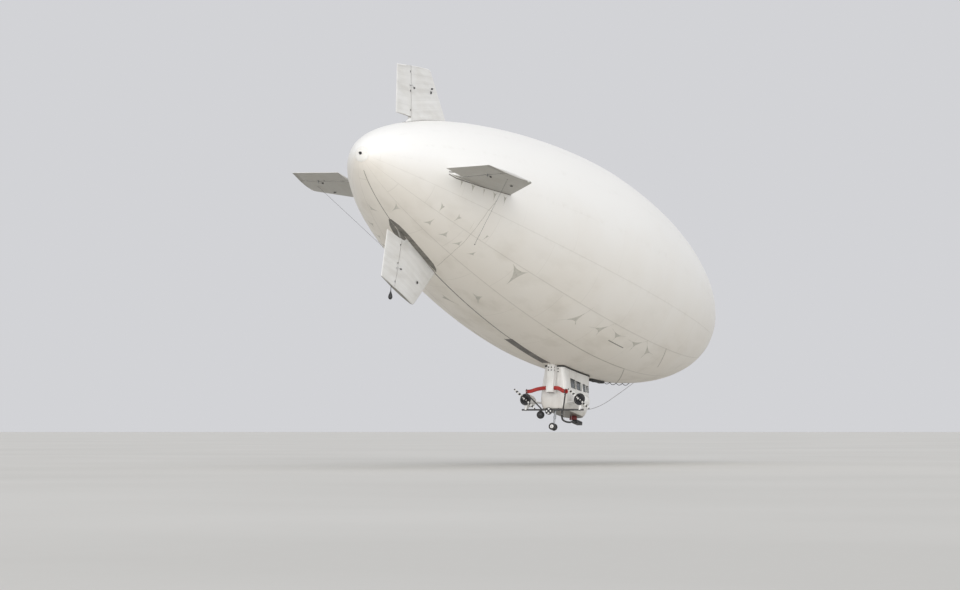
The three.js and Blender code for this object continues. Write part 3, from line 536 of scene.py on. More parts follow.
def patch(shape, tips, pull, proud=0.004, size=1.0):
    """A patch with three or more tips and sides hollowed by pull, lying on the hull."""
    tips = [np.array(tip, float) for tip in tips]
    middle = sum(tips) / len(tips)
    tips = [middle + size * (tip - middle) for tip in tips]
    outline = []
    for start, end in zip(tips, tips[1:] + tips[:1]):
        half = (start + end) / 2
        bend = half + pull * (middle - half)
        outline += [bent(start, bend, end, share) for share in np.linspace(0, 1, 9)[:-1]]
    rings = []
    for reach, height in [(0.0, -PATCH_SUNK), (0.5, -PATCH_SUNK), (1.0, -PATCH_SUNK),
                          (1.0, proud), (0.97, proud), (0.66, proud), (0.33, proud), (0.0, proud)]:
        rings.append([on_hull(*(middle + reach * (p - middle)), height) for p in outline])
    return shape.loft(rings, capped=False)


patch_cloth = finish("load patch cloth", (0.61, 0.585, 0.52), (0.51, 0.49, 0.43), patch=4.0,
                     grime=(0.34, 0.31, 0.26), dirty=0.45, gloss=(0.55, 0.7), weave=90.0)
tape_cloth = finish("seam tape", (0.25, 0.235, 0.21), (0.18, 0.17, 0.155), patch=2.0,
                    grime=(0.42, 0.39, 0.33), dirty=0.5, gloss=(0.5, 0.7), weave=120.0)
thin_tape_cloth = finish("thin seam tape", (0.52, 0.49, 0.43), (0.44, 0.41, 0.355), patch=2.0,
                         grime=(0.36, 0.33, 0.27), dirty=0.5, gloss=(0.5, 0.7), weave=120.0)

# Each patch's three tips, as (metres aft of the nose, degrees round from the keel).
BOW_PATCHES = [
    [(22.85, 33.4), (21.63, 47.9), (21.66, 36.3)],
    [(20.42, 39.3), (18.96, 47.0), (19.4, 37.3)],
    [(18.61, 44.5), (17.0, 44.2), (17.75, 39.3)],
    [(16.32, 43.4), (14.58, 47.1), (15.3, 38.9)],
    [(14.4, 46.9), (12.67, 41.4), (13.36, 37.3)],
]
TAIL_PATCHES = [
    [(36.70, 22.4), (36.35, 20.8), (36.37, 11.1)],
    [(35.01, 30.0), (34.78, 39.5), (34.66, 32.4)],
    [(35.06, 58.0), (34.8, 55.9), (34.88, 49.6)],
    [(33.87, 31.0), (33.67, 38.5), (33.45, 33.6)],
    [(33.85, 56.9), (33.85, 49.7), (33.62, 55.2)],
    [(32.9, 32.5), (32.62, 39.0), (32.51, 34.8)],
    [(32.84, 57.6), (32.78, 49.5), (32.8, 53.7)],
    [(31.74, 33.3), (31.47, 38.9), (31.4, 35.4)],
    [(31.68, 54.5), (31.71, 49.6), (31.55, 54.1)],
    [(28.88, 46.1), (27.82, 46.7), (28.19, 34.5)],
    [(28.58, 11.2), (28.11, 14.0), (27.5, 7.4)],
]
patches = Shape()
for side in (1, -1):
    for table, pull, size in ((BOW_PATCHES, 1.3, 1.25), (TAIL_PATCHES, 0.8, 1.2)):
        for tips in table:
            patch(patches, [(s, side * degrees) for s, degrees in tips], pull, size=size)
made("load_patches", patches, [patch_cloth], "envelope_fabric")

keel_tape = Shape()
tape(keel_tape, [(38.6, 0.0), (35.3, 0.0)], 0.026, bowed=0.004)
tape(keel_tape, [(31.1, 0.0), (22.4, 0.0)], 0.05, bowed=0.004)
for side in (1, -1):
    tape(keel_tape, [(18.04, side * 37.7), (16.1, side * 37.6)], 0.05)
made("keel_tape", keel_tape, [tape_cloth], "envelope_fabric")

thin_tapes = Shape()
for side in (1, -1):
    tape(thin_tapes, [(22.7, side * 24.0), (13.06, side * 24.0)], 0.045)
    tape(thin_tapes, [(13.06, side * 23.4), (9.76, side * 3.0)], 0.05)
    tape(thin_tapes, [(11.58, side * 48.2), (10.09, side * 33.7)], 0.05)
    tape(thin_tapes, [(s, side * degrees) for s, degrees in [
        (32.02, 81.8), (32.38, 70.9), (32.53, 60.2), (32.55, 47.1), (32.41, 29.4), (32.14, 17.4),
        (31.74, 7.1)]], 0.02)
made("thin_tapes", thin_tapes, [thin_tape_cloth], "envelope_fabric")

net_cloth, t, shader, place = started("grey net")
squares = [t.node("ShaderNodeTexWave", {"Vector": place, "Scale": 9.0, "Detail": 0.0}, out="Fac",
                  bands_direction=axis) for axis in "XY"]
mesh_lines = t.sum("MAXIMUM", *[t.spread(wave, 0.6, 0.8) for wave in squares])
net_tone = t.mixed(mesh_lines, (0.085, 0.08, 0.075), (0.22, 0.21, 0.195))
net_tone = t.stained(place, 1.6, 0.45, 0.75, 0.6, net_tone, (0.30, 0.28, 0.25))
fine_coat(t, shader, place, net_tone, (0.6, 0.85), 200.0, 0.6, 0.004, mesh_lines)
net = Shape()
tape(net, [(22.5, -1.5), (17.95, -1.5)], 0.38, proud=0.010, bowed=0.004)
net.finish = 1
for hem_angle in (-3.55, 0.55):
    tape(net, [(22.55, hem_angle), (17.9, hem_angle)], 0.035, proud=0.013)
made("keel_net", net, [net_cloth, tape_cloth], "grey_rubber", stands_for=["keel_strip"])


# Nose: a dished plate laminated over the point of the hull, twelve battens of split tube laced
# down the skin from it, and a turned steel mooring spindle. Bolts clamp the dish.

steel = finish("brushed steel", (0.42, 0.43, 0.44), (0.30, 0.31, 0.32), patch=6.0,
               grime=(0.16, 0.12, 0.09), dirty=0.4, gloss=(0.3, 0.5), metal=0.9,
               stretch=(1.0, 0.2, 1.0))
white_paint = finish("white paint", (0.84, 0.835, 0.81), (0.78, 0.77, 0.74), patch=2.2,
                     grime=(0.42, 0.37, 0.30), dirty=0.28, gloss=(0.35, 0.5), coat=0.2)

BATTEN_STEP = 30
BATTEN_STRAPS = (0.9, 1.4, 1.9, 2.4)
# Half a strap's length, in degrees on a hull of 1 m radius.
STRAP_HALF = 5.2

dish = Shape().loft([[on_hull(s, a, h) for a in np.arange(0, 360, 6.0)] for s, h in [
    (0.34, 0.0), (0.425, 0.0), (0.42, 0.026), (0.40, 0.038), (0.33, 0.04), (0.24, 0.04),
    (0.15, 0.04), (0.08, 0.04), (0.03, 0.04), (0.004, 0.04)]])
made("nose_dish", dish, [white_paint], "cabin_white", stands_for=["nose_battens"])

battens = Shape()
for degrees in range(0, 360, BATTEN_STEP):
    rings = []
    for s in np.concatenate([[0.36], np.linspace(0.40, 2.52, 22), [2.56, 2.6]]):
        slim = 1.0 if s < 2.5 else (0.75 if s < 2.58 else 0.25)
        middle, out = on_hull(s, degrees), on_hull(s, degrees, 1.0) - on_hull(s, degrees)
        side = np.array([math.cos(math.radians(degrees)), 0.0, math.sin(math.radians(degrees))])
        rings.append([middle + slim * 0.045 * math.cos(a) * side
                      + (slim * 0.03 * math.sin(a) - 0.002) * out
                      for a in np.linspace(-0.5, math.pi + 0.5, 11)])
    battens.loft(rings)
for degrees in range(0, 360, BATTEN_STEP):
    for s in BATTEN_STRAPS:
        half = STRAP_HALF / hull_radius(s / LENGTH)
        tape(battens, [(s, degrees - half), (s, degrees + half)], 0.06, proud=0.004, spacing=0.03)
made("batten_tubes", battens, [white_paint], "cabin_white")

spindle = Shape()
spindle.turned([(0.0, 0.036), (0.13, 0.036), (0.135, 0.044), (0.135, 0.066), (0.128, 0.072),
                (0.08, 0.076), (0.06, 0.088), (0.05, 0.105), (0.045, 0.13), (0.045, 0.21),
                (0.05, 0.222), (0.062, 0.23), (0.0625, 0.255), (0.062, 0.28), (0.055, 0.292),
                (0.045, 0.30), (0.012, 0.30), (0.010, 0.29), (0.0, 0.29)],
               (0, 0, 0), (0, 1, 0), 48)
made("nose_spindle", spindle, [steel], "steel", stands_for=["mooring_spindle"])

t, size = grower("studs", {"Radius": "Float", "Height": "Float", "Sides": "Int",
                           "Finish": "Material"})
top = t.times(size["Radius"], 0.72)
head = t.node("GeometryNodeMeshCone", {
    "Vertices": size["Sides"], "Radius Top": top, "Radius Bottom": size["Radius"],
    "Depth": size["Height"]})
facing = t.node("GeometryNodeInputNamedAttribute", {"Name": "facing"}, data_type="FLOAT_VECTOR")
aimed = t.node("FunctionNodeAlignRotationToVector", {"Vector": facing}, axis="Z")
heads = t.node("GeometryNodeInstanceOnPoints", {
    "Points": size["Geometry"], "Instance": head, "Rotation": aimed})
stud_tree = given(t, heads, size["Finish"])


def studs(name, points, facings, radius, height, material):
    """Six-sided screw, rivet or bolt heads, each at its point and facing its way."""
    mesh = bpy.data.meshes.new(name)
    mesh.from_pydata(placed(points), [], [])
    turned_ways = placed(facings) - placed([(0, 0, 0)])
    way = mesh.attributes.new("facing", "FLOAT_VECTOR", "POINT")
    way.data.foreach_set("vector", turned_ways.ravel())
    piece = grown(name, stud_tree, {"Radius": radius, "Height": height, "Sides": 6,
                                    "Finish": material}, mesh)
    smoothed(piece.data, 30.0)
    hung(piece, "airframe")


bolt_places = [(0.37, a) for a in np.arange(7.5, 360, 15.0)]
nose_points = [on_hull(s, a, 0.038) for s, a in bolt_places]
nose_ways = [on_hull(s, a, 1.0) - on_hull(s, a) for s, a in bolt_places]
for a in full_turn(8):
    nose_points.append((0.108 * math.cos(a), 0.071, 0.108 * math.sin(a)))
    nose_ways.append((0.0, 1.0, 0.0))
studs("nose_bolts", nose_points, nose_ways, 0.014, 0.012, steel)


# Tail fitting: a round of doubled cloth over the point where the gores meet, with a small dark
# rubber boot glued in its middle.

round_cloth = finish("tail round cloth", (0.84, 0.825, 0.785), (0.79, 0.77, 0.72), patch=4.0,
                     grime=(0.50, 0.47, 0.40), dirty=0.25, gloss=(0.45, 0.6), weave=90.0)
dark_rubber = finish("dark rubber", (0.03, 0.029, 0.028), (0.02, 0.02, 0.02), patch=8.0,
                     grime=(0.12, 0.11, 0.1), dirty=0.2, gloss=(0.5, 0.75))
tail_round = Shape()
tail_round.loft([[on_hull(38.995 - 0.127 * d * d, a, h) for a in np.arange(0, 360, 6.0)]
                 for d, h in [(1.0, -0.008), (1.0, 0.010), (0.97, 0.016), (0.8, 0.018),
                              (0.6, 0.018), (0.4, 0.018), (0.2, 0.018)]])
tail_round.finish = 1
tail_round.turned([(0.0, 0.13), (0.028, 0.128), (0.04, 0.118), (0.045, 0.10), (0.045, 0.06),
                   (0.06, 0.05), (0.065, 0.035), (0.065, 0.0), (0.0, 0.0)], (0, -38.99, 0),
                  (0, -1, 0), 32)
made("tail_fitting", tail_round, [round_cloth, dark_rubber], "grey_rubber",
     stands_for=["tail_cap"])


# Fins: spruce and foam ribs on an alloy frame, covered with doped cloth that sags a little between
# the ribs. One fin is drawn upright, as (across, aft of the nose, height above the axis), and the
# four are turned round the hull. Each ends in a channel for its rudder, with three hinge lugs.

ROOT_FORE, TIP_FORE = np.array([31.06, 3.38]), np.array([33.04, 5.277])
HINGE_TIP, HINGE_ROOT = np.array([35.04, 4.906]), np.array([34.68, 2.728])
HINGE_FOOT = np.array([34.601, 2.25])
HINGE_SHARES = (0.12, 0.5, 0.88)
HINGE_LENGTH = float(np.linalg.norm(HINGE_TIP - HINGE_ROOT))
HINGE_WAY = (HINGE_TIP - HINGE_ROOT) / HINGE_LENGTH
FIN_EDGE = 0.022
CHANNEL = 0.07
RIBS = 8
SAG = 0.006
CORNER_START = 0.9222
CORNER_RUN = 0.1034
FIN_TOP = 0.9902
TURNS = {"upper": 0, "starboard": 90, "lower": 180, "port": 270}


def on_fin(points, turn):
    """Upright fin points (across, s, height) turned round the hull to their fin."""
    across, s, height = np.atleast_2d(np.asarray(points, float)).T
    c, k = math.cos(math.radians(turn)), math.sin(math.radians(turn))
    return np.column_stack([across * c + height * k, -s, height * c - across * k])


def on_hinge(share):
    """A point of the upright fin's hinge line, as (aft of the nose, height above the axis)."""
    return HINGE_ROOT + (HINGE_TIP - HINGE_ROOT) * share


def fin_edge_points():
    """Where each section starts, at the leading edge or round the tip's corner, and its height."""
    before = TIP_FORE + (ROOT_FORE - TIP_FORE) * (1 - CORNER_START)
    after = TIP_FORE + (HINGE_TIP - TIP_FORE) * CORNER_RUN
    places = [(v, ROOT_FORE + (TIP_FORE - ROOT_FORE) * v)
              for v in np.linspace(0, CORNER_START, 57)]
    for share in np.linspace(0, 1, 9)[1:]:
        corner = bent(before, TIP_FORE, after, share)
        places.append((CORNER_START + (FIN_TOP - CORNER_START) * share, corner))
    return places


def fin_half(v, c, length):
    """Half the fin's thickness at a share of its height and of its chord."""
    ridge = 0.118 + (0.075 - 0.118) * v
    hinge = 0.078 + (0.068 - 0.078) * v
    rise = min(1.0, c / 0.5)
    rise = 0.5 * rise + 0.5 * math.sin(math.pi / 2 * rise)
    body = FIN_EDGE + (ridge - FIN_EDGE) * rise
    if c > 0.5:
        body = ridge + (hinge - ridge) * ((c - 0.5) / 0.5) ** 1.6
    nose = math.sqrt(max(0.0, 1 - (1 - min(1.0, c * length / 0.03)) ** 2))
    sag = SAG * abs(math.sin(math.pi * RIBS * v)) * math.sin(math.pi * min(1.0, c * 1.02)) ** 0.5
    return nose * (body - sag)


def fin_ring(v, edge, end, thin=1.0, out=0.0):
    chord = end - edge
    length = float(np.linalg.norm(chord))
    shares = np.concatenate([np.linspace(0, 1, 8)[:-1] ** 2 * 0.06, np.linspace(0.06, 1, 14)])
    lift = np.array([0.0, out])
    face = [(fin_half(v, c, length) * thin, *(edge + chord * c + lift)) for c in shares]
    stop = face[-1]
    arc = [(CHANNEL * math.sin(a) * thin, end[0] + 0.015 - CHANNEL * math.cos(a), end[1] + out)
           for a in np.radians(np.linspace(-72, 72, 9))]
    near = [(-x, s, h) for x, s, h in face[1:]]
    return face[::-1] + near + [(-stop[0] * 0.98, stop[1], stop[2])] + arc


def fin_shape(turn):
    rings = []
    for v, edge in fin_edge_points():
        end = HINGE_FOOT + (HINGE_TIP - HINGE_FOOT) * min(1.0, v / FIN_TOP) - (0.015, 0.0)
        rings.append(fin_ring(v, edge, end))
    for a in (25, 50, 70, 84, 90):
        rings.append(fin_ring(FIN_TOP, edge, end, math.cos(math.radians(a)) + 0.02,
                              0.016 * math.sin(math.radians(a))))
    shape = Shape().loft([on_fin(ring, turn) for ring in rings])
    fillet = []
    for s in np.concatenate([np.linspace(34.3, 34.7, 5), np.linspace(34.78, 35.24, 7), [35.3]]):
        top = np.interp(s, (34.7, 35.3), (2.653, 2.15))
        half = np.interp(s, (34.7, 35.3), (0.066, 0.022))
        low = min(top - 0.05, hull_radius(s / LENGTH) - 0.10)
        fillet.append([(half * x, s, top - drop if drop else h) for x, drop, h in [
            (1, 0, low), (1, 0.03, 0), (0.86, 0.012, 0), (0.5, 0.002, 0), (-0.5, 0.002, 0),
            (-0.86, 0.012, 0), (-1, 0.03, 0), (-1, 0, low)]])
    shape.loft([on_fin(ring, turn) for ring in fillet])
    shape.finish = 1
    for share in HINGE_SHARES:
        middle = on_hinge(share)
        ends = [(0.0, *(middle + HINGE_WAY * d)) for d in (-0.025, -0.021, 0.021, 0.025)]
        shape.bar(on_fin(ends, turn), (0.030, 0.034, 0.034, 0.030), 20)
        plate = []
        for ahead in (0.0, 0.03, 0.13):
            foot = middle - (ahead, 0.0)
            plate.append(on_fin([(x, *(foot + HINGE_WAY * d)) for x, d in [
                (0.018, -0.024), (0.018, 0.024), (-0.018, 0.024), (-0.018, -0.024)]], turn))
        shape.loft(plate)
    return shape


# A dark brown-grey: painted shade under the fins and the cabin, and grime on black rubber.
SHADE_AND_DIRT_TONE = (0.17, 0.155, 0.13)
fin_cloth, t, shader, place = started("fin cloth")
facing_down = t.parts(t.node("ShaderNodeTexCoord", out="Normal"))[2]
under = t.spread(facing_down, -0.75, 0.25, 1.0, 0.0)
tone = t.patchy(place, 1.1, 4.0, (0.91, 0.905, 0.885), (0.86, 0.85, 0.82))
# Painted shade: the fin cloth turns dark grey on faces that look down.
tone = t.mixed(t.times(under, 0.82), tone, (0.33, 0.315, 0.275))
chart = t.parts(t.node("ShaderNodeUVMap", uv_map="chart"))
# Painted shade: a darker band along the tip, on the undersides only.
tip_shade_band = t.times(t.spread(chart[1], 0.86, 0.93), t.times(under, 0.55))
tone = t.mixed(tip_shade_band, tone, SHADE_AND_DIRT_TONE)
rib_place = t.sum("FRACT", t.times(chart[1], float(RIBS)))
rib_line = t.sum("MINIMUM", rib_place, t.less(1.0, rib_place))
rib_tape = t.spread(rib_line, 0.03, 0.05, 1.0, 0.0)
tone = t.mixed(t.times(rib_tape, 0.10), tone, (0.45, 0.44, 0.40))
streaks = t.spread(t.cloud(place, 2.2, 6.0, (1.0, 0.25, 1.0)), 0.5, 0.72)
tone = t.mixed(t.times(streaks, t.sum("MULTIPLY_ADD", under, 0.30, 0.14)), tone,
               (0.36, 0.33, 0.27))
weave = [t.node("ShaderNodeTexWave", {"Vector": place, "Scale": 110.0}, out="Fac",
                bands_direction=axis) for axis in "YZ"]
relief = t.sum("ADD", t.times(t.sum("ADD", *weave), 0.1), rib_tape)
fine_coat(t, shader, place, tone, (0.4, 0.55), 150.0, 0.4, 0.002, relief)

for fin_name, turn in TURNS.items():
    made(fin_name + "_fin_cloth", fin_shape(turn), [fin_cloth, steel], "fin_fabric",
         stands_for=[fin_name + "_fin"], sharp=50.0)


# Rudders and elevators: the same cloth over ribs, from a round spar that turns in the fin's channel
# to a thin trailing edge. The spar is notched round each lug, and a pin crosses the notch. A pair
# of horns takes the control cables, which run ahead to a pulley box on the fin.

RUDDER_TIP, RUDDER_ROOT = np.array([36.266, 4.651]), np.array([36.024, 2.575])
BARREL = 0.06
NOTCH = 0.078
NOTCH_HALF = 0.042 / HINGE_LENGTH
HORN_SHARE = 0.6


def rudder_ring(w, notched=False, thin=1.0, out=0.0):
    hinge = on_hinge(w)
    trail = RUDDER_ROOT + (RUDDER_TIP - RUDDER_ROOT) * w
    chord = float(trail[0] - hinge[0])
    drop = trail[1] - hinge[1]
    side = []
    for c in np.concatenate([[0.0, 0.03, 0.055, 0.064], np.linspace(0.12, 0.985, 11), [1.0]]):
        half = BARREL + (0.012 - BARREL) * c
        half -= SAG * 0.7 * abs(math.sin(math.pi * 7 * w)) * math.sin(math.pi * c)
        if c == 1.0:
            half = 0.005
        aft = max(NOTCH, c * chord) if notched else c * chord
        side.append((half, aft))
    arc = [(BARREL * math.sin(a), NOTCH if notched else -BARREL * math.cos(a))
           for a in np.radians(np.linspace(78, -78, 11))]
    flat = side[::-1] + arc + [(-half, aft) for half, aft in side]
    return [(half * thin, hinge[0] + aft, hinge[1] + drop * aft / chord + out)
            for half, aft in flat]


def rudder_shape(turn):
    rings = []
    stops = set(np.linspace(0, 1, 43))
    for share in HINGE_SHARES:
        low, high = share - NOTCH_HALF, share + NOTCH_HALF
        stops = {w for w in stops if not low - 0.004 < w < high + 0.004} | {low, high}
    for end, angles in ((0.0, (90, 60, 30)), (1.0, (30, 60, 90))):
        cap = [rudder_ring(end, False, max(0.04, math.cos(math.radians(a))),
                           (1 if end else -1) * 0.010 * math.sin(math.radians(a)))
               for a in angles]
        rings += cap
        if end:
            continue
        for w in sorted(stops):
            rings.append(rudder_ring(w))
            for share in HINGE_SHARES:
                if abs(w - (share - NOTCH_HALF)) < 1e-9:
                    rings += [rudder_ring(w, True), rudder_ring(share + NOTCH_HALF, True)]
    shape = Shape().loft([on_fin(ring, turn) for ring in rings])
    shape.finish = 1
    for share in HINGE_SHARES:
        middle = on_hinge(share)
        pin_ends = [(0.0, *(middle + HINGE_WAY * d)) for d in (-0.048, 0.048)]
        shape.bar(on_fin(pin_ends, turn), 0.0148, 16)
    foot = on_hinge(HORN_SHARE)
    for side in (-1, 1):
        flat = rounded([(0.03, 0.03), (0.03, 0.15), (0.19, 0.10), (0.19, 0.07)], 0.012, 3)
        rings = []
        for thick, inset in ((-0.007, 0.003), (-0.005, 0.0), (0.005, 0.0), (0.007, 0.003)):
            centre = flat.mean(0)
            shrunk = centre + (flat - centre) * (1 - inset / 0.06)
            rings.append(on_fin([(side * x, foot[0] + aft + HINGE_WAY[0] * thick,
                                  foot[1] + HINGE_WAY[1] * thick) for x, aft in shrunk], turn))
        shape.loft(rings)
    return shape


surfaces = {"upper": "upper_rudder", "starboard": "starboard_elevator", "lower": "lower_rudder",
            "port": "port_elevator"}
for fin_name, node in surfaces.items():
    made(node + "_cloth", rudder_shape(TURNS[fin_name]), [fin_cloth, steel], "fin_fabric",
         body=node, stands_for=[node], sharp=50.0)

cable_steel = finish("cable steel", (0.16, 0.16, 0.165), (0.10, 0.10, 0.10), patch=20.0,
                     dirty=0.3, gloss=(0.35, 0.5), metal=0.8)
black_plastic = finish("black plastic", (0.030, 0.030, 0.032), (0.020, 0.020, 0.021), patch=5.0,
                       grime=(0.14, 0.13, 0.115), dirty=0.3, gloss=(0.35, 0.55))
horn_foot = on_hinge(HORN_SHARE)
for fin_name, node in surfaces.items():
    turn = TURNS[fin_name]
    boxes = Shape()
    for side in (-1, 1):
        fittings = Shape().block((0.068, 34.56, 3.98), (0.116, 34.66, 4.04), 0.008)
        fittings.block((0.088, 34.64, 4.0), (0.106, 34.70, 4.02), 0.005)
        fittings.turned([(0.0, 0.0), (0.065, 0.0), (0.065, 0.012), (0.055, 0.02), (0.0, 0.022)],
                        (0.096, 32.95, 4.25), (1, 0, 0), 24)
        boxes.add(on_fin([(side * x, s, h) for x, s, h in fittings.points], turn),
                  fittings.faces, fittings.charts)
    made(fin_name + "_pulley_boxes", boxes, [black_plastic], "trim_black")
    for side_name, side in (("near", -1), ("far", 1)):
        start = (side * 0.098, 34.69, 4.01)
        end = (side * 0.178, horn_foot[0] + 0.085, float(horn_foot[1]))
        middle = [np.array(start) + (np.array(end) - np.array(start)) * share
                  for share in np.linspace(0, 1, 9)]
        cable = Shape().bar(on_fin(middle, turn), 0.004, 8)
        piece = made(f"{fin_name}_{side_name}_cable", cable, [cable_steel], None)
        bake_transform(piece)

weight = Shape()
weight.turned([(0.0, 0.0), (0.012, 0.005), (0.014, 0.02), (0.015, 0.21), (0.030, 0.27),
               (0.052, 0.33), (0.072, 0.39), (0.088, 0.44), (0.092, 0.485), (0.085, 0.53),
               (0.066, 0.57), (0.036, 0.594), (0.0, 0.60)], (0, -35.25, -4.865), (0, 0, -1), 36)
made("tail_lead", weight, [black_plastic], "trim_black", body="lower_rudder",
     stands_for=["tail_weight"])


# Fin dress: a laced gusset along each root, a brace wire from each horizontal fin down to the hull,
# a lamp on the upper fin and a lamp housing at each horizontal tip. A wide dark strip and a dark
# gusset along the lower fin's root are dirt and painted shade, and dirt has run down from the
# horizontal fins.

# Dark cloth: grime on the root gussets, and painted shade where it covers the lower fin's root.
grime_and_shade_cloth = finish("gusset cloth with grime and painted shade", (0.25, 0.235, 0.205), (0.17, 0.16, 0.14), patch=3.0,
                     grime=(0.09, 0.085, 0.075), dirty=0.6, gloss=(0.55, 0.7), weave=90.0)


def root_angle(s, across):
    """How far round the hull a fin's face stands from the fin's middle plane, in degrees."""
    return math.degrees(math.asin(across / hull_radius(s / LENGTH)))


gussets = Shape()
for fin_name, turn in TURNS.items():
    middle_angle = 180.0 - turn
    for side in (-1, 1):
        path = []
        for s in np.linspace(31.15, 34.75, 19):
            v = min(1.0, (s - 31.06) / 3.54)
            across = 0.022 + 0.098 * min(1.0, 1.7 * v)
            path.append((float(s), middle_angle + side * root_angle(s, across + 0.012)))
        path.append((35.2, middle_angle + side * root_angle(35.2, 0.05)))
        tape(gussets, path, 0.04, proud=0.006, bowed=0.006)
made("root_gussets", gussets, [grime_and_shade_cloth], "fin_fabric")

# A wide dark strip each side of the lower fin's root: dirt on its lacing, and painted shade where
# the hull curves in under the fin.
root_strip = Shape()
for side in (-1, 1):
    rings = []
    for s, outer in [(31.2, 0.13), (31.45, 0.24), (31.96, 0.34), (32.6, 0.36), (33.27, 0.36),
                     (33.9, 0.35), (34.48, 0.33), (35.0, 0.28), (35.38, 0.22), (35.85, 0.05)]:
        near = side * root_angle(s, 0.115 if s < 34.7 else 0.02)
        far = side * root_angle(s, outer)
        rings.append([on_hull(s, near, -0.012), on_hull(s, near, 0.008),
                      on_hull(s, (near + far) / 2, 0.010), on_hull(s, far, 0.008),
                      on_hull(s, far, -0.012)])
    root_strip.loft(rings)
made("lower_root_dirt_and_shade", root_strip, [grime_and_shade_cloth], "fin_fabric")

# A dark sheet each side of the lower fin's aft root: painted shade in the notch between fin and
# hull.
belly_gusset = Shape()
for side in (-1, 1):
    rings = []
    for s in np.linspace(33.9, 35.28, 12):
        top = np.interp(s, (34.7, 35.28), (2.72, 2.17))
        half = np.interp(s, (34.7, 35.28), (0.086, 0.03))
        low = hull_radius(s / LENGTH) - 0.03
        rings.append([(side * (half - 0.02), s, low), (side * half, s, low),
                      (side * half, s, (low + top) / 2), (side * (half - 0.004), s, top),
                      (side * (half - 0.02), s, top)])
    belly_gusset.loft([on_fin(ring, 180) for ring in rings])
made("lower_fin_shade_gusset", belly_gusset, [grime_and_shade_cloth], "fin_fabric")

dirt_marks = Shape()
for side in (1, -1):
    for number, s in enumerate(np.linspace(31.5, 34.4, 5)):
        width = 0.9 + 0.35 * math.sin(2.4 * number)
        patch(dirt_marks, [(s - 0.13 * width, side * 87.0), (s + 0.13 * width, side * 87.4),
                           (s + 0.02, side * (81.0 - 1.6 * width))], pull=0.9, proud=0.003)
made("lacing_patches", dirt_marks, [patch_cloth], "envelope_fabric")

EYE_PLATE = [(0.0, -0.01), (0.03, -0.01), (0.03, 0.006), (0.015, 0.016), (0.0, 0.018)]
wires = Shape()
for side in (1, -1):
    head, foot = np.array([side * 4.54, -34.04, -0.075]), on_hull(31.9, side * 43.0)
    wires.bar([head + (foot - head) * share for share in np.linspace(0, 1, 9)], 0.006, 6)
    wires.turned(EYE_PLATE, head + (0.0, 0.0, 0.003), (0, 0, -1), 16)
    wires.turned(EYE_PLATE, foot, on_hull(31.9, side * 43.0, 1.0) - foot, 16)
made("brace_wires", wires, [cable_steel], "steel")

lamps = Shape()
lamps.turned([(0.0, -0.02), (0.04, -0.02), (0.04, 0.02), (0.034, 0.045), (0.018, 0.062),
              (0.0, 0.066)], (0.088, -32.88, 4.44), (1, 0, 0), 24)
made("upper_fin_lamp", lamps, [black_plastic], "trim_black")
lens_red = finish("red lens", (0.28, 0.03, 0.025), (0.20, 0.02, 0.018), dirty=0.2,
                  gloss=(0.12, 0.25), coat=0.6)
lens_green = finish("green lens", (0.05, 0.14, 0.10), (0.03, 0.10, 0.07), dirty=0.2,
                    gloss=(0.12, 0.25), coat=0.6)
for fin_name, material in (("starboard", lens_green), ("port", lens_red)):
    lamp = Shape().turned([(0.0, -0.12), (0.03, -0.11), (0.05, -0.07), (0.056, 0.0),
                           (0.054, 0.05), (0.04, 0.07)], (0.0, 33.33, 5.20), (0, -1, 0), 28)
    lamp.finish = 1
    lamp.turned([(0.0, 0.06), (0.042, 0.06), (0.046, 0.08), (0.040, 0.12), (0.024, 0.148),
                 (0.0, 0.156)], (0.0, 33.33, 5.20), (0, -1, 0), 28)
    lamp.points = on_fin(lamp.points, TURNS[fin_name])
    made(fin_name + "_tip_lamp", lamp, [white_paint, material], "cabin_white")


# Belly ahead of the cabin: a black rubber pad over the gas valves, with two lidded valves in it and
# a hand line in scallops from eye to eye.

PAD_FORE, PAD_AFT, PAD_HALF, PAD_DEPTH = 11.0, 12.7, 0.12, 0.115

valve_pad = Shape()
rows = []
for s in np.linspace(PAD_FORE, PAD_AFT, 18):
    ends = min(s - PAD_FORE, PAD_AFT - s)
    half = PAD_HALF * (0.62 + 0.38 * math.sqrt(1 - (1 - min(1.0, ends / 0.06)) ** 2))
    radius = hull_radius(s / LENGTH)
    deep = PAD_DEPTH - 0.03 * max(0.0, 1 - ends / 0.05)
    rows.append([(x * half, -s, -radius * math.cos(math.asin(x * half / radius)) - drop)
                 for x, drop in [(-1, -0.03), (-1, deep - 0.03), (-0.9, deep - 0.008), (-0.5, deep),
                                 (0, deep), (0.5, deep), (0.9, deep - 0.008), (1, deep - 0.03),
                                 (1, -0.03)]])
valve_pad.loft(rows)
for s in (11.45, 12.2):
    valve_pad.turned([(0.0, 0.0), (0.105, 0.0), (0.105, 0.008), (0.09, 0.014), (0.05, 0.015),
                      (0.045, 0.022), (0.02, 0.024), (0.0, 0.024)],
                     (0.0, -s, -hull_radius(s / LENGTH) - 0.108), (0, 0, -1), 36)
made("valve_pad", valve_pad, [dark_rubber], "trim_black", stands_for=["belly_valve"])

hand_line = Shape()
LOOPS, LOOPS_START, LOOPS_RUN = 4, 10.95, 3.4
line_places = []
for number in range(LOOPS):
    for share in np.linspace(0, 1, 17)[:-1]:
        s = LOOPS_START - LOOPS_RUN * (number + share) / LOOPS
        drop = 0.016 + 0.12 * math.sin(math.pi * share) * (0.8 + 0.25 * math.sin(3.1 * number))
        line_places.append(on_hull(s, 0.0, 0.0) + (0.0, 0.0, -drop))
hand_line.bar(line_places, 0.016, 8)
for number in range(LOOPS + 1):
    s = LOOPS_START - LOOPS_RUN * number / LOOPS
    hand_line.block((-0.02, -s - 0.03, -hull_radius(s / LENGTH) - 0.028),
                    (0.02, -s + 0.03, -hull_radius(s / LENGTH) + 0.03), 0.008)
made("belly_hand_line", hand_line, [dark_rubber], "trim_black")
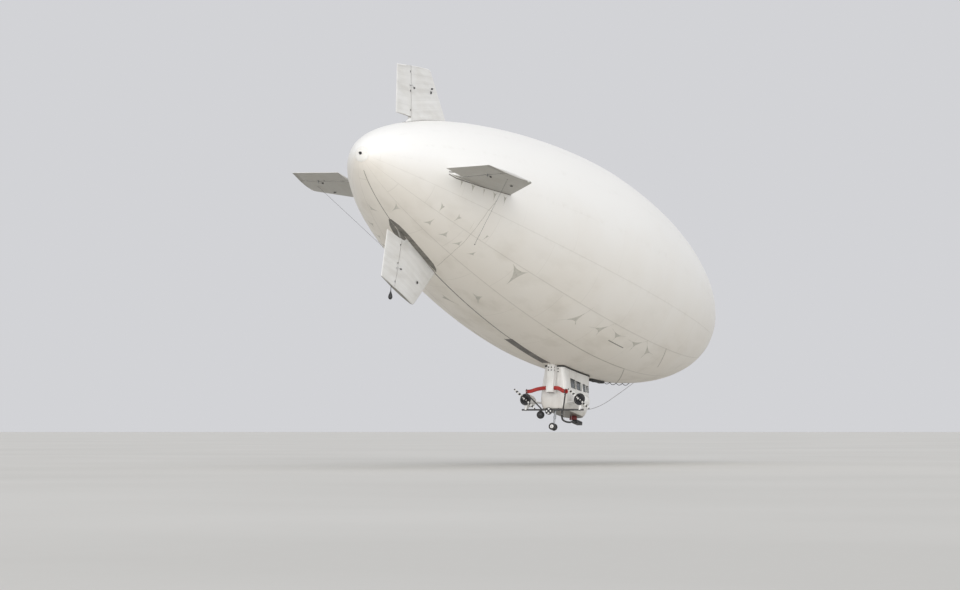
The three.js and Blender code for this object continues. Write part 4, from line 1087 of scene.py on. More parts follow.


# Cabin: foam-cored glass-fibre mouldings, a tub up to the sill and an upper wall from the sill to
# the hull, narrow at the top and bluntly pointed ahead. White paint, browner towards the bottom,
# with painted shade where its faces look down.

CABIN_LEVELS = np.array([
    # height, half width, aft end, fore end
    (-7.05, 0.56, 17.08, 14.25),
    (-6.90, 0.64, 17.10, 14.05),
    (-6.55, 0.70, 17.10, 13.95),
    (-6.02, 0.665, 17.155, 13.82),
    (-5.30, 0.542, 17.235, 13.645),
    (-4.70, 0.44, 17.30, 13.50),
])
WALL = 0.04
COLLAR_SEAT = 0.0706
WINDOW_CORNER = 0.06
SILL = -6.02
NOSE_REACH = 0.78
BACK_CORNER = 0.19
OUTLINE_HEIGHTS = np.linspace(-7.05, -4.7, 48)
WINDOWS = [
    # aft edge, fore edge, bottom at the aft edge, bottom at the fore edge, top
    (16.52, 15.88, -5.93, -5.90, -5.48),
    (15.78, 15.18, -5.90, -5.87, -5.48),
    (14.95, 14.56, -5.85, -5.82, -5.48),
    (14.47, 14.17, -5.81, -5.78, -5.48),
]
DOOR_WINDOW = WINDOWS[1]
SCREEN = [(-0.44, -5.90), (0.44, -5.90), (0.44, -5.40), (-0.44, -5.40)]
DOOR_OUTLINE = [(15.82, -6.85), (15.14, -6.85), (15.14, -5.38), (15.82, -5.38)]
DOOR_HOLE = [(15.836, -6.858), (15.132, -6.858), (15.132, -5.372), (15.836, -5.372)]


def cabin_size(z):
    """Half width, aft end and fore end at a height, faired between the levels."""
    near = z + np.linspace(-0.1, 0.1, 9)
    return [float(np.mean(np.interp(near, CABIN_LEVELS[:, 0], CABIN_LEVELS[:, i])))
            for i in (1, 2, 3)]


def cabin_ring(z, inset=0.0):
    """The outline at a height, from the middle of the nose round by starboard and the back."""
    half, aft, fore = cabin_size(z)
    half, aft, fore = half - inset, aft - inset, fore + inset
    corner = max(0.06, BACK_CORNER - inset)
    side = [(half * max(0.0, math.cos(a)) ** 0.75, fore + NOSE_REACH * (1 - math.sin(a) ** 0.75))
            for a in np.radians([90, 87, 83, 78, 72, 65, 57, 48, 39, 30, 21, 13, 6, 2, 0])]
    side += [(half, s) for s in np.linspace(fore + NOSE_REACH + 0.2, aft - corner - 0.15, 8)]
    side += [(half - corner + corner * math.cos(a), aft - corner + corner * math.sin(a))
             for a in np.radians(np.linspace(0, 90, 8))]
    return np.array([(x, -s, z) for x, s in side + [(-x, s) for x, s in side[:0:-1]]])


def wall_table(inset):
    return np.array([cabin_ring(z, inset) for z in OUTLINE_HEIGHTS])


def at_heights(table, heights):
    """The outline's points, each of them at a height of its own."""
    return np.array([[np.interp(z, OUTLINE_HEIGHTS, table[:, j, k]) for k in range(3)]
                     for j, z in enumerate(heights)])


def under_hull(table, drop):
    """The outline where it meets the hull, less a drop."""
    heights = np.full(table.shape[1], -5.0)
    for _ in range(5):
        heights = np.array([-math.sqrt(hull_radius(-y / LENGTH) ** 2 - x * x) - drop
                            for x, y, z in at_heights(table, heights)])
    return heights


def wall_rings(inset, low):
    """The wall's outline from a height up to its seat under the collar."""
    table = wall_table(inset)
    top = under_hull(table, COLLAR_SEAT)
    return [at_heights(table, low + (top - low) * share) for share in np.linspace(0, 1, 13)]


def window_outline(window, grow=0.0):
    aft, fore, bottom_aft, bottom_fore, top = window
    return rounded([(aft + grow, bottom_aft - grow), (fore - grow, bottom_fore - grow),
                    (fore - grow, top + grow), (aft + grow, top + grow)], WINDOW_CORNER + grow)


def carved(piece, bars, operation="DIFFERENCE"):
    """The piece less, or only within, straight bars: (outline, side or None for ahead, ends)."""
    tool_shape = Shape()
    for outline, side, near, far in bars:
        tool_shape.loft([[(side * end, -a, b) if side else (a, -end, b) for a, b in outline]
                         for end in (near, far)])
    tool = made("cutting_bars", tool_shape, [], None)
    cut = piece.modifiers.new("cut", "BOOLEAN")
    cut.object, cut.operation, cut.solver = tool, operation, "EXACT"
    settled(piece)
    bpy.data.objects.remove(tool)
    smoothed(piece.data, 35.0)
    return piece


cabin_paint, t, shader, place = started("cabin paint")
height = t.parts(place)[2]
facing_down = t.parts(t.node("ShaderNodeTexCoord", out="Normal"))[2]
mottle = t.less(t.cloud(place, 2.5, 5.0), 0.5)
tone = t.patchy(place, 1.4, 4.0, (0.84, 0.835, 0.81), (0.77, 0.76, 0.73))
# Browner towards the bottom of the walls.
browner_low = t.spread(t.sum("MULTIPLY_ADD", mottle, 0.5, height), -7.0, -6.3, 0.5, 0.0)
tone = t.mixed(browner_low, tone, (0.45, 0.40, 0.325))
tone = t.stained(place, 4.0, 0.5, 0.75, 0.3, tone, (0.40, 0.355, 0.29), (1.0, 1.0, 0.16))
# Painted shade: faces that look down turn dark brown-grey.
tone = t.mixed(t.spread(facing_down, -0.9, -0.6, 0.95, 0.0), tone, SHADE_AND_DIRT_TONE)
fine_coat(t, shader, place, tone, (0.32, 0.48), 160.0, 0.2, 0.001)
shader.inputs["Coat Weight"].default_value = 0.2

holes = [(window_outline(window), side, 0.2, 1.2) for window in WINDOWS for side in (1, -1)
         if side > 0 or window != DOOR_WINDOW]
door_hole = (rounded(DOOR_HOLE, 0.075), -1, 0.1, 1.2)
screen_hole = (rounded(SCREEN, 0.08), None, 13.0, 14.3)

tub = Shape()
tub_rings = [cabin_ring(z, inset) for z, inset in [
    (-7.05, 0.16), (-7.05, 0.04), (-7.045, 0.022), (-7.033, 0.009), (-7.015, 0.002), (-6.98, 0.0)]]
tub_rings += [cabin_ring(z) for z in np.linspace(-6.93, SILL - 0.0005, 13)]
tub_rings += [cabin_ring(z, WALL) for z in np.linspace(SILL - 0.0005, -6.97, 11)]
tub_rings += [cabin_ring(-7.0, WALL + 0.01), cabin_ring(-7.01, WALL + 0.03)]
tub.loft(tub_rings)
tub_piece = carved(made("cabin_tub_shell", tub, [cabin_paint], None), [door_hole])
hung(tub_piece, "airframe", ["cabin_tub"])

upper = Shape().loft(wall_rings(0.0, SILL + 0.0005) + wall_rings(WALL, SILL + 0.0005)[::-1],
                     closed=True)
upper_piece = carved(made("cabin_upper_shell", upper, [cabin_paint], None), holes + [door_hole])
carved(upper_piece, [screen_hole])
hung(upper_piece, "airframe", ["port_upper_shell", "starboard_upper_shell"])

sill_strip = Shape().loft([
    cabin_ring(SILL + up, -proud) for up, proud in [
        (-0.022, -0.004), (-0.022, 0.002), (-0.018, 0.005), (0.018, 0.005), (0.022, 0.002),
        (0.022, -0.004)]], closed=True)
sill_piece = carved(made("sill_strip", sill_strip, [white_paint], None), [
    (rounded([(15.86, -6.9), (15.10, -6.9), (15.10, -5.3), (15.86, -5.3)], 0.02), -1, 0.1, 1.2)])
hung(sill_piece, "airframe")

black_rubber = finish("black rubber", (0.035, 0.034, 0.033), (0.022, 0.022, 0.021), patch=6.0,
                      grime=SHADE_AND_DIRT_TONE, dirty=0.35, gloss=(0.5, 0.75))
collar_rings = []
for out, drop in [(0.0, -0.015), (-0.032, -0.015), (-0.034, 0.03), (-0.032, 0.06), (-0.022, 0.07),
                  (0.0, 0.0704), (0.035, 0.0704), (0.039, 0.06), (0.039, -0.012)]:
    table = wall_table(out)
    collar_rings.append(at_heights(table, under_hull(table, drop)))
collar = Shape().loft(collar_rings, closed=True)
made("cabin_collar_rubber", collar, [black_rubber], "trim_black", stands_for=["cabin_collar"])


def skin_half(s, z):
    """Half the cabin's width at a place along it and a height."""
    half, aft, fore = cabin_size(z)
    ahead = 1 - (s - fore) / NOSE_REACH
    if ahead > 0:
        return half * max(0.0, 1 - min(1.0, ahead) ** (2 / 0.75)) ** 0.375
    behind = max(0.0, s - aft + BACK_CORNER)
    return half - BACK_CORNER + math.sqrt(max(0.0, BACK_CORNER ** 2 - behind ** 2))


def nose_s(x, z):
    """How far aft the cabin's nose stands, off its middle line."""
    half, aft, fore = cabin_size(z)
    cosine = min(1.0, (abs(x) / half) ** (1 / 0.75))
    return fore + NOSE_REACH * (1 - (1 - cosine ** 2) ** 0.375)


def stepped(outline):
    """A closed outline with a point at least every 80 mm."""
    places = []
    for start, end in zip(outline, np.roll(outline, -1, 0)):
        count = max(1, int(np.linalg.norm(end - start) / 0.04))
        places += [start + (end - start) * share for share in np.linspace(0, 1, count + 1)[:-1]]
    return np.array(places)


beads = Shape()
for window in WINDOWS:
    for side in (1, -1):
        if side > 0 or window != DOOR_WINDOW:
            beads.bar([(side * (skin_half(s, z) + 0.001), -s, z)
                       for s, z in stepped(window_outline(window, 0.004))], 0.009, 8, closed=True)
beads.bar([(x, -nose_s(x, z) + 0.001, z)
           for x, z in stepped(rounded(np.array(SCREEN) * (1.01, 1.0), 0.08))], 0.010, 8,
          closed=True)
made("window_beads", beads, [black_rubber], "trim_black")

rivet_places, rivet_ways = [], []
for side in (1, -1):
    for z in (SILL - 0.045, SILL + 0.045, -6.93):
        for s in np.arange(14.25, 16.95, 0.085):
            if side > 0 or not 15.08 < s < 15.88:
                half = skin_half(s, z)
                lean = (skin_half(s + 0.01, z) - skin_half(s - 0.01, z)) / 0.02
                rivet_places.append((side * (half + 0.0005), -s, z))
                rivet_ways.append((side, lean, 0.05))
for z in (SILL - 0.045, SILL + 0.045, -6.93):
    for x in np.arange(-0.42, 0.43, 0.085):
        rivet_places.append((x, -cabin_size(z)[1] - 0.0005, z))
        rivet_ways.append((0, -1, 0))
studs("cabin_rivets", rivet_places, rivet_ways, 0.006, 0.004, white_paint)

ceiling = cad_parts["cabin_ceiling"]
lining = finish("cabin lining", (0.62, 0.61, 0.58), (0.55, 0.54, 0.51), patch=3.0, dirty=0.25,
                gloss=(0.6, 0.8), weave=140.0)
ceiling.data.materials.clear()
ceiling.data.materials.append(lining)


# Windows: sheets of tinted acrylic bonded inside the walls, with dust on them. The front sheet
# wraps round the nose.

acrylic, t, shader, place = started("tinted acrylic")
tone = t.patchy(place, 3.0, 4.0, (0.30, 0.33, 0.35), (0.24, 0.27, 0.30))
tone = t.stained(place, 9.0, 0.55, 0.75, 0.35, tone, (0.20, 0.19, 0.17))
fine_coat(t, shader, place, tone, (0.04, 0.10), 60.0, 0.04, 0.0005)
shader.inputs["Transmission Weight"].default_value = 0.75
shader.inputs["IOR"].default_value = 1.45

PANE_FOOT = -5.96
PANES = [
    # CAD node, side, aft edge, fore edge, top, body
    ("starboard_glazing", 1, 16.57, 14.42, -5.44, "airframe"),
    ("port_aft_glazing", -1, 16.57, 15.85, -5.44, "airframe"),
    ("port_fore_glazing", -1, 15.00, 14.42, -5.44, "airframe"),
    ("door_glazing", -1, 15.79, 15.17, -5.44, "door"),
    ("windscreen", None, 13.0, 14.41, -5.34, "airframe"),
]
sheet_heights = np.linspace(-6.0, -5.3, 9)
for node, side, aft, fore, top, body in PANES:
    layer = Shape().loft([cabin_ring(z, WALL + 0.0003) for z in sheet_heights]
                         + [cabin_ring(z, WALL + 0.006) for z in sheet_heights[::-1]], closed=True)
    if side:
        region = (rounded([(aft, PANE_FOOT), (fore, PANE_FOOT), (fore, top), (aft, top)], 0.05),
                  side, 0.12, 1.2)
    else:
        region = ([(-0.9, PANE_FOOT), (0.9, PANE_FOOT), (0.9, top), (-0.9, top)], None, aft, fore)
    pane = carved(made(node + "_sheet", layer, [acrylic], None), [region], "INTERSECT")
    hung(pane, body, [node])


# Door: a panel of the port wall with its own window, hung on a straight pin that stands outside
# the skin at its fore edge, with two barrels, and closed by a lever handle.

door_layer = Shape().loft([cabin_ring(z) for z in np.linspace(-6.9, -5.3, 19)]
                          + [cabin_ring(z, WALL) for z in np.linspace(-5.3, -6.9, 19)],
                          closed=True)
door = carved(made("door_panel", door_layer, [cabin_paint], None),
              [(rounded(DOOR_OUTLINE, 0.067), -1, 0.1, 1.2)], "INTERSECT")
carved(door, [(window_outline(DOOR_WINDOW, -0.02), -1, 0.2, 1.2)])
hung(door, "door")


def on_pin(z):
    return np.array([-0.723 + 0.064 * (z + 6.55), -15.132, z])


furniture = Shape()
pin = Shape()
for z in (-6.48, -6.08):
    furniture.bar([on_pin(z + up) for up in (-0.045, -0.042, 0.042, 0.045)],
                  (0.0145, 0.017, 0.017, 0.0145), 20)
    leaf = []
    for up in (-0.044, 0.044):
        base = on_pin(z + up)
        leaf.append([base + (x, y, 0.0) for x, y in [(0.004, -0.010), (0.0, -0.016),
                                                     (0.072, -0.075), (0.080, -0.070),
                                                     (0.080, -0.024), (0.070, -0.019)]])
    furniture.loft(leaf)
    for up in (-0.057, 0.057):
        middle = on_pin(z + up)
        pin.loft([[middle + (x, y, rise) for x, y in [(-0.012, -0.010), (-0.014, 0.010),
                                                      (0.06, 0.020), (0.06, 0.09)]]
                  for rise in (-0.009, 0.009)])
pin.bar([on_pin(z) for z in (-6.570, -6.567, -5.993, -5.990)], (0.005, 0.007, 0.007, 0.005), 16)
handle_x = -skin_half(15.74, -6.2) - 0.002
furniture.turned([(0.0, -0.004), (0.024, -0.004), (0.024, 0.008), (0.014, 0.014), (0.012, 0.034),
                  (0.0, 0.036)], (handle_x, -15.74, -6.2), (-1, 0, 0.05), 24)
furniture.bar([(handle_x - 0.028, -15.74, -6.2), (handle_x - 0.03, -15.70, -6.202),
               (handle_x - 0.028, -15.63, -6.206)], (0.010, 0.009, 0.007), 12)
made("door_furniture", furniture, [steel], "cabin_white", body="door", stands_for=["port_door"])
door_bead = Shape().bar([(-(skin_half(s, z) + 0.001), -s, z)
                         for s, z in stepped(window_outline(DOOR_WINDOW, -0.016))], 0.008, 8,
                        closed=True)
made("door_window_bead", door_bead, [black_rubber], "trim_black", body="door")
made("door_pin", pin, [steel], "steel", stands_for=["door_hinge"])


# Seats: a moulded base and padded squab and back in dark woven cloth, two ahead and a bench for
# three behind. The pads are blown up as sewn covers and sag a little under their piping.

seat_cloth = finish("seat cloth", (0.075, 0.085, 0.13), (0.05, 0.058, 0.095), patch=5.0,
                    grime=(0.13, 0.125, 0.12), dirty=0.3, gloss=(0.75, 0.92), grain=400.0,
                    weave=260.0)
SEAT_FLOOR = -7.01


def squared(share, power):
    """A sine or cosine squared off by a power below one."""
    return np.sign(share) * abs(share) ** power


def pad(low, high, lean=0.0, crown=0.03):
    """A closed pad: sides pulled in between its corners, both faces crowned."""
    low, high = np.array(low, float), np.array(high, float)
    middle, half = (low + high) / 2, (high - low) / 2
    thin = int(np.argmin(half))
    wide = [k for k in range(3) if k != thin]
    rings = []
    for level, size in [(-1, 0.3), (-1, 0.6), (-0.98, 0.82), (-0.8, 0.94), (-0.4, 0.99), (0, 1),
                        (0.4, 0.99), (0.8, 0.94), (0.98, 0.82), (1, 0.6), (1, 0.3)]:
        ring = []
        for a in full_turn(40):
            flat = np.array([squared(math.cos(a), 0.32), squared(math.sin(a), 0.32)])
            waist = 1 - 0.035 * (1 - min(abs(flat[0]), abs(flat[1])) ** 2)
            place = np.zeros(3)
            place[wide[0]], place[wide[1]] = flat * waist * size * half[wide]
            bulge = (1 - (size * 0.95) ** 2) * crown
            place[thin] = level * (half[thin] - crown * 0.6) + np.sign(level) * bulge
            ring.append(middle + place)
        rings.append(ring)
    shape = Shape().loft(rings)
    shape.points = [(x, y + lean * (z - low[2]), z) for x, y, z in shape.points]
    return shape


PAD_CAP = 0.010
PAD_VOXEL = 0.018


def puffed(piece):
    """The pad's cover blown up as cloth, held within a cap of where it started, and evened."""
    remesh = piece.modifiers.new("even", "REMESH")
    remesh.mode, remesh.voxel_size = "VOXEL", PAD_VOXEL
    settled(piece)
    start = np.empty(3 * len(piece.data.vertices))
    piece.data.vertices.foreach_get("co", start)
    cloth = piece.modifiers.new("blown", "CLOTH")
    cloth.settings.use_pressure = True
    cloth.settings.uniform_pressure_force = 4.0
    cloth.settings.effector_weights.gravity = 0.0
    cloth.point_cache.frame_start, cloth.point_cache.frame_end = 1, 20
    for frame_number in range(1, 21):
        scene.frame_set(frame_number)
    settled(piece)
    scene.frame_set(1)
    end = np.empty_like(start)
    piece.data.vertices.foreach_get("co", end)
    move = (end - start).reshape(-1, 3)
    size = np.maximum(np.linalg.norm(move, axis=1, keepdims=True), 1e-9)
    kept = start.reshape(-1, 3) + move * np.minimum(1.0, PAD_CAP / size)
    piece.data.vertices.foreach_set("co", kept.ravel())
    even = piece.modifiers.new("smooth", "SUBSURF")
    even.levels = even.render_levels = 1
    settled(piece)
    smoothed(piece.data, 60.0)
    return piece


SEATS = [
    # CAD node, middle, half width, fore edge, depth, inset of the base, pads across
    ("pilot_seat", -0.30, 0.23, 14.96, 0.48, 0.05, 1),
    ("copilot_seat", 0.30, 0.23, 14.96, 0.48, 0.05, 1),
    ("rear_bench", 0.0, 0.57, 16.38, 0.52, 0.12, 3),
]
for node, middle, half, fore, depth, inset, across in SEATS:
    base = Shape().block((middle - half + inset, -fore - depth + 0.06, SEAT_FLOOR + 0.0005),
                         (middle + half - inset, -fore - 0.06, -6.762), 0.03, 4)
    base.bar([(middle - half + 0.03, -fore - depth + 0.05, -6.775),
              (middle + half - 0.03, -fore - depth + 0.05, -6.775),
              (middle + half - 0.03, -fore - 0.04, -6.775),
              (middle - half + 0.03, -fore - 0.04, -6.775)], 0.012, 10, closed=True)
    made(node + "_base", base, [black_plastic], "seat_cloth", stands_for=[node])
    padding, piping = Shape(), Shape()
    width = 2 * half / across
    for number in range(across):
        left = middle - half + number * width + 0.006
        right = left + width - 0.012
        squab = pad((left, -fore - depth + 0.07, -6.765), (right, -fore - 0.012, -6.65))
        back = pad((left, -fore - depth + 0.005, -6.63), (right, -fore - depth + 0.095, -6.07),
                   lean=-0.09, crown=0.02)
        for part in (squab, back):
            padding.add(part.points, part.faces, part.charts)
        seam = [(left + 0.03, -fore - 0.012, -6.707), (right - 0.03, -fore - 0.012, -6.707)]
        piping.bar(np.linspace(*np.array(seam), 9), 0.005, 6)
    cover = puffed(made(node + "_pads", padding, [seat_cloth], None))
    hung(cover, "airframe")
    made(node + "_piping", piping, [black_plastic], "seat_cloth")


# Instrument panel: a black moulded console on a pedestal, with two screens, a row of dials, a
# radio stack and a pair of engine levers.

panel = Shape().block((-0.43, -14.62, -6.42), (0.43, -14.50, -6.08), 0.02, 4)
panel.block((-0.13, -14.70, SEAT_FLOOR + 0.0005), (0.13, -14.54, -6.40), 0.02, 4)
panel.block((-0.45, -14.63, -6.095), (0.45, -14.50, -6.068), 0.012, 3)
made("console", panel, [black_plastic], "trim_black", stands_for=["instrument_panel"])
dial_glass = finish("dial glass", (0.05, 0.065, 0.075), (0.03, 0.04, 0.05), patch=12.0, dirty=0.1,
                    gloss=(0.08, 0.2), coat=0.5)
dials = Shape()
for x in (-0.27, 0.27):
    dials.block((x - 0.10, -14.632, -6.25), (x + 0.10, -14.618, -6.12), 0.006)
for x in np.arange(-0.36, 0.37, 0.09):
    dials.turned([(0.0, -0.004), (0.032, -0.004), (0.034, 0.004), (0.030, 0.009), (0.0, 0.006)],
                 (x, -14.622, -6.33), (0, -1, 0), 20)
for z in (-6.24, -6.195, -6.15):
    dials.block((-0.075, -14.634, z - 0.018), (0.075, -14.618, z + 0.018), 0.004)
made("panel_dials", dials, [dial_glass], "trim_black")
levers = Shape()
for x in (-0.05, 0.05):
    levers.bar([(x, -14.69, -6.5), (x, -14.75, -6.44), (x, -14.77, -6.40)], 0.006, 8)
    levers.turned([(0.0, -0.018), (0.014, -0.012), (0.018, 0.0), (0.014, 0.012), (0.0, 0.018)],
                  (x, -14.772, -6.39), (0, -0.4, 1), 16)
made("engine_levers", levers, [steel], "steel")


# Air box and scoops: a white box behind the cabin leads air up into the hull. A ribbed red duct on
# each side runs out behind a propeller, with its open mouth held by a steel ring on a strut.

box = Shape().block((-0.18, -17.65, -6.35), (0.18, -17.29, -4.985), 0.03, 4)
box.block((-0.13, -17.658, -6.28), (0.13, -17.645, -5.60), 0.012, 3)
for side in (1, -1):
    box.turned([(0.10, -0.004), (0.128, -0.004), (0.130, 0.004), (0.126, 0.012), (0.102, 0.014)],
               (side * 0.18, -17.487, -6.128), (side, 0, 0), 40, closed=True)
made("air_box", box, [cabin_paint], "cabin_white", stands_for=["air_plenum"])
box_points, box_ways = [], []
for x in (-0.115, 0.115):
    for z in np.linspace(-6.26, -5.62, 8):
        box_points.append((x, -17.659, z))
        box_ways.append((0, -1, 0))
studs("air_box_screws", box_points, box_ways, 0.007, 0.005, steel)

vents = Shape()
for z in (-5.15, -5.285):
    for place, way in [((-0.105, -17.65, z), (0, -1, 0)), ((0.045, -17.65, z), (0, -1, 0)),
                       ((0.18, -17.60, z), (1, 0, 0)),
                       ((0.225, -cabin_size(z)[1], z), (0, -1, 0))]:
        vents.turned([(0.0, -0.004), (0.030, -0.004), (0.032, 0.004), (0.026, 0.007),
                      (0.020, 0.002), (0.0, 0.002)], place, way, 24)
made("vent_holes", vents, [black_rubber], "trim_black")


def eased(stops, steps=10):
    """A smooth line through the given points, taking long spans and short ones alike."""
    stops = np.asarray(stops, float)
    ends = np.vstack([2 * stops[0] - stops[1], stops, 2 * stops[-1] - stops[-2]])
    line = []
    for a, b, c, d in zip(ends, ends[1:], ends[2:], ends[3:]):
        before, span, after = [np.linalg.norm(q - p) ** 0.5 for p, q in ((a, b), (b, c), (c, d))]
        leave = ((b - a) / before - (c - a) / (before + span) + (c - b) / span) * span
        arrive = ((c - b) / span - (d - b) / (span + after) + (d - c) / after) * span
        for u in np.linspace(0, 1, steps, endpoint=False):
            line.append((2 * u ** 3 - 3 * u ** 2 + 1) * b + (u ** 3 - 2 * u ** 2 + u) * leave
                        + (3 * u ** 2 - 2 * u ** 3) * c + (u ** 3 - u ** 2) * arrive)
    line.append(stops[-1])
    return np.array(line)


red_duct = finish("red duct cloth", (0.50, 0.040, 0.032), (0.36, 0.026, 0.024), patch=6.0,
                  grime=(0.20, 0.07, 0.055), dirty=0.5, gloss=(0.5, 0.7), grain=300.0)
t, size = grower("ribbed duct", {"Radius": "Float", "Rib": "Float", "Pitch": "Float",
                                 "Rings": "Int", "Sides": "Int", "Cloth": "Material"})
run = t.node("GeometryNodeMeshToCurve", {"Mesh": size["Geometry"]})
run = t.node("GeometryNodeResampleCurve", {"Curve": run, "Count": size["Rings"]})
run_length = t.node("GeometryNodeSplineParameter", out="Length")
run = t.node("GeometryNodeStoreNamedAttribute", {"Geometry": run, "Name": "along",
                                                 "Value": run_length}, domain="POINT")
circle = t.node("GeometryNodeCurvePrimitiveCircle", {"Resolution": size["Sides"],
                                                     "Radius": size["Radius"]})
duct = t.node("GeometryNodeCurveToMesh", {"Curve": run, "Profile Curve": circle})
along = t.node("GeometryNodeInputNamedAttribute", {"Name": "along"}, data_type="FLOAT")
wave = t.sum("COSINE", t.times(t.sum("DIVIDE", along, size["Pitch"]), 2 * math.pi))
out = t.node("ShaderNodeVectorMath", {0: t.node("GeometryNodeInputNormal")}, operation="NORMALIZE")
rise = t.times(t.less(wave, 1.0), size["Rib"])
push = t.tree.nodes.new("ShaderNodeVectorMath")
push.operation = "SCALE"
t.tree.links.new(out, push.inputs[0])
t.tree.links.new(rise, push.inputs["Scale"])
duct = t.node("GeometryNodeSetPosition", {"Geometry": duct, "Offset": push.outputs[0]})
duct_tree = given(t, duct, size["Cloth"])

SIDES = (("starboard", 1), ("port", -1))
BEAM_LINE = (-17.08, -7.11)
for side_name, side in SIDES:
    line = eased([(side * x, y, z) for x, y, z in [
        (0.14, -17.48, -6.13), (0.31, -17.49, -6.124), (0.60, -17.72, -6.225),
        (0.86, -17.905, -6.355), (1.05, -18.0, -6.385)]])
    mesh = bpy.data.meshes.new(side_name + "_duct")
    mesh.from_pydata(placed(line), [(i, i + 1) for i in range(len(line) - 1)], [])
    duct_piece = grown(side_name + "_duct", duct_tree, {
        "Radius": 0.092, "Rib": 0.005, "Pitch": 0.032, "Rings": 190, "Sides": 24,
        "Cloth": red_duct}, mesh)
    smoothed(duct_piece.data, 60.0)
    wall = duct_piece.modifiers.new("wall", "SOLIDIFY")
    wall.thickness, wall.offset = 0.004, -1.0
    settled(duct_piece)
    hung(duct_piece, "airframe", [side_name + "_air_hose"])
    gone = np.concatenate([[0], np.cumsum(np.linalg.norm(np.diff(line, axis=0), axis=1))])
    ring_middle = np.array([np.interp(0.965 * gone[-1], gone, line[:, k]) for k in range(3)])
    ring_along = line[-1] - line[-4]
    ring_along /= np.linalg.norm(ring_along)
    ring_down = np.array([-0.45 * side, 0.0, -1.0])
    ring_down -= ring_along * (ring_down @ ring_along)
    ring_down /= np.linalg.norm(ring_down)
    strut = Shape().bar([(side * 0.54, *BEAM_LINE), ring_middle + ring_down * 0.108], 0.034, 20)
    strut.drum(0.0935, 0.116, 0.022, (0.004, 0.004), ring_middle, ring_along, 48)
    strut.turned([(0.0, -0.03), (0.044, -0.03), (0.044, 0.04), (0.0, 0.04)],
                 ring_middle + ring_down * 0.15, ring_down, 20)
    made(side_name + "_scoop_stay", strut, [cable_steel], "steel",
         stands_for=[side_name + "_scoop_strut"])
    angles = full_turn(40)[:, None]
    across_way = np.cross(ring_along, ring_down)
    hem = Shape().bar(line[-1] + 0.088 * (np.cos(angles) * ring_down
                                          + np.sin(angles) * across_way), 0.007, 10, closed=True)
    made(side_name + "_duct_hem", hem, [red_duct], "red_hose")


# Power: a steel cross beam in clamps under the cabin's back. On each side an outrigger fairing and
# a pylon carry a white cowl, open at both ends, with the engine in it and a black fan guard behind.

beam = Shape().bar([(x, *BEAM_LINE) for x in (-1.6, -1.594, 1.594, 1.6)],
                   (0.036, 0.042, 0.042, 0.036), 28)
for x in (-1.40, -0.54, -0.30, 0.30, 0.54, 1.40):
    beam.drum(0.0, 0.052, 0.035, (0.002, 0.005), (x, *BEAM_LINE), (1, 0, 0), 28)
for x in (-0.30, 0.30):
    beam.block((x - 0.03, -17.12, -7.10), (x + 0.03, -17.03, -7.035), 0.008)
made("cross_beam", beam, [cable_steel], "steel", stands_for=["engine_beam"])

engine_metal = finish("engine metal", (0.12, 0.12, 0.125), (0.07, 0.07, 0.072), patch=9.0,
                      grime=(0.16, 0.12, 0.08), dirty=0.6, gloss=(0.4, 0.65), metal=0.6)
white_bar = (0.80, 0.79, 0.76)
BLADE_ROOT, BLADE_TIP = 0.06, 0.757
propeller_paint, t, shader, place = started("propeller paint")
chart = t.parts(t.node("ShaderNodeUVMap", uv_map="chart"))
reach = t.sum("MULTIPLY_ADD", chart[1], BLADE_TIP - BLADE_ROOT, BLADE_ROOT)
bars = t.sum("FRACT", t.sum("DIVIDE", t.less(BLADE_TIP + 0.001, reach), 0.18))
bars = t.spread(bars, 0.49, 0.51)
tone = t.mixed(bars, (0.03, 0.03, 0.032), white_bar)
tone = t.stained(place, 14.0, 0.5, 0.75, 0.4, tone, (0.20, 0.18, 0.15))
fine_coat(t, shader, place, tone, (0.28, 0.42), 240.0, 0.15, 0.001)

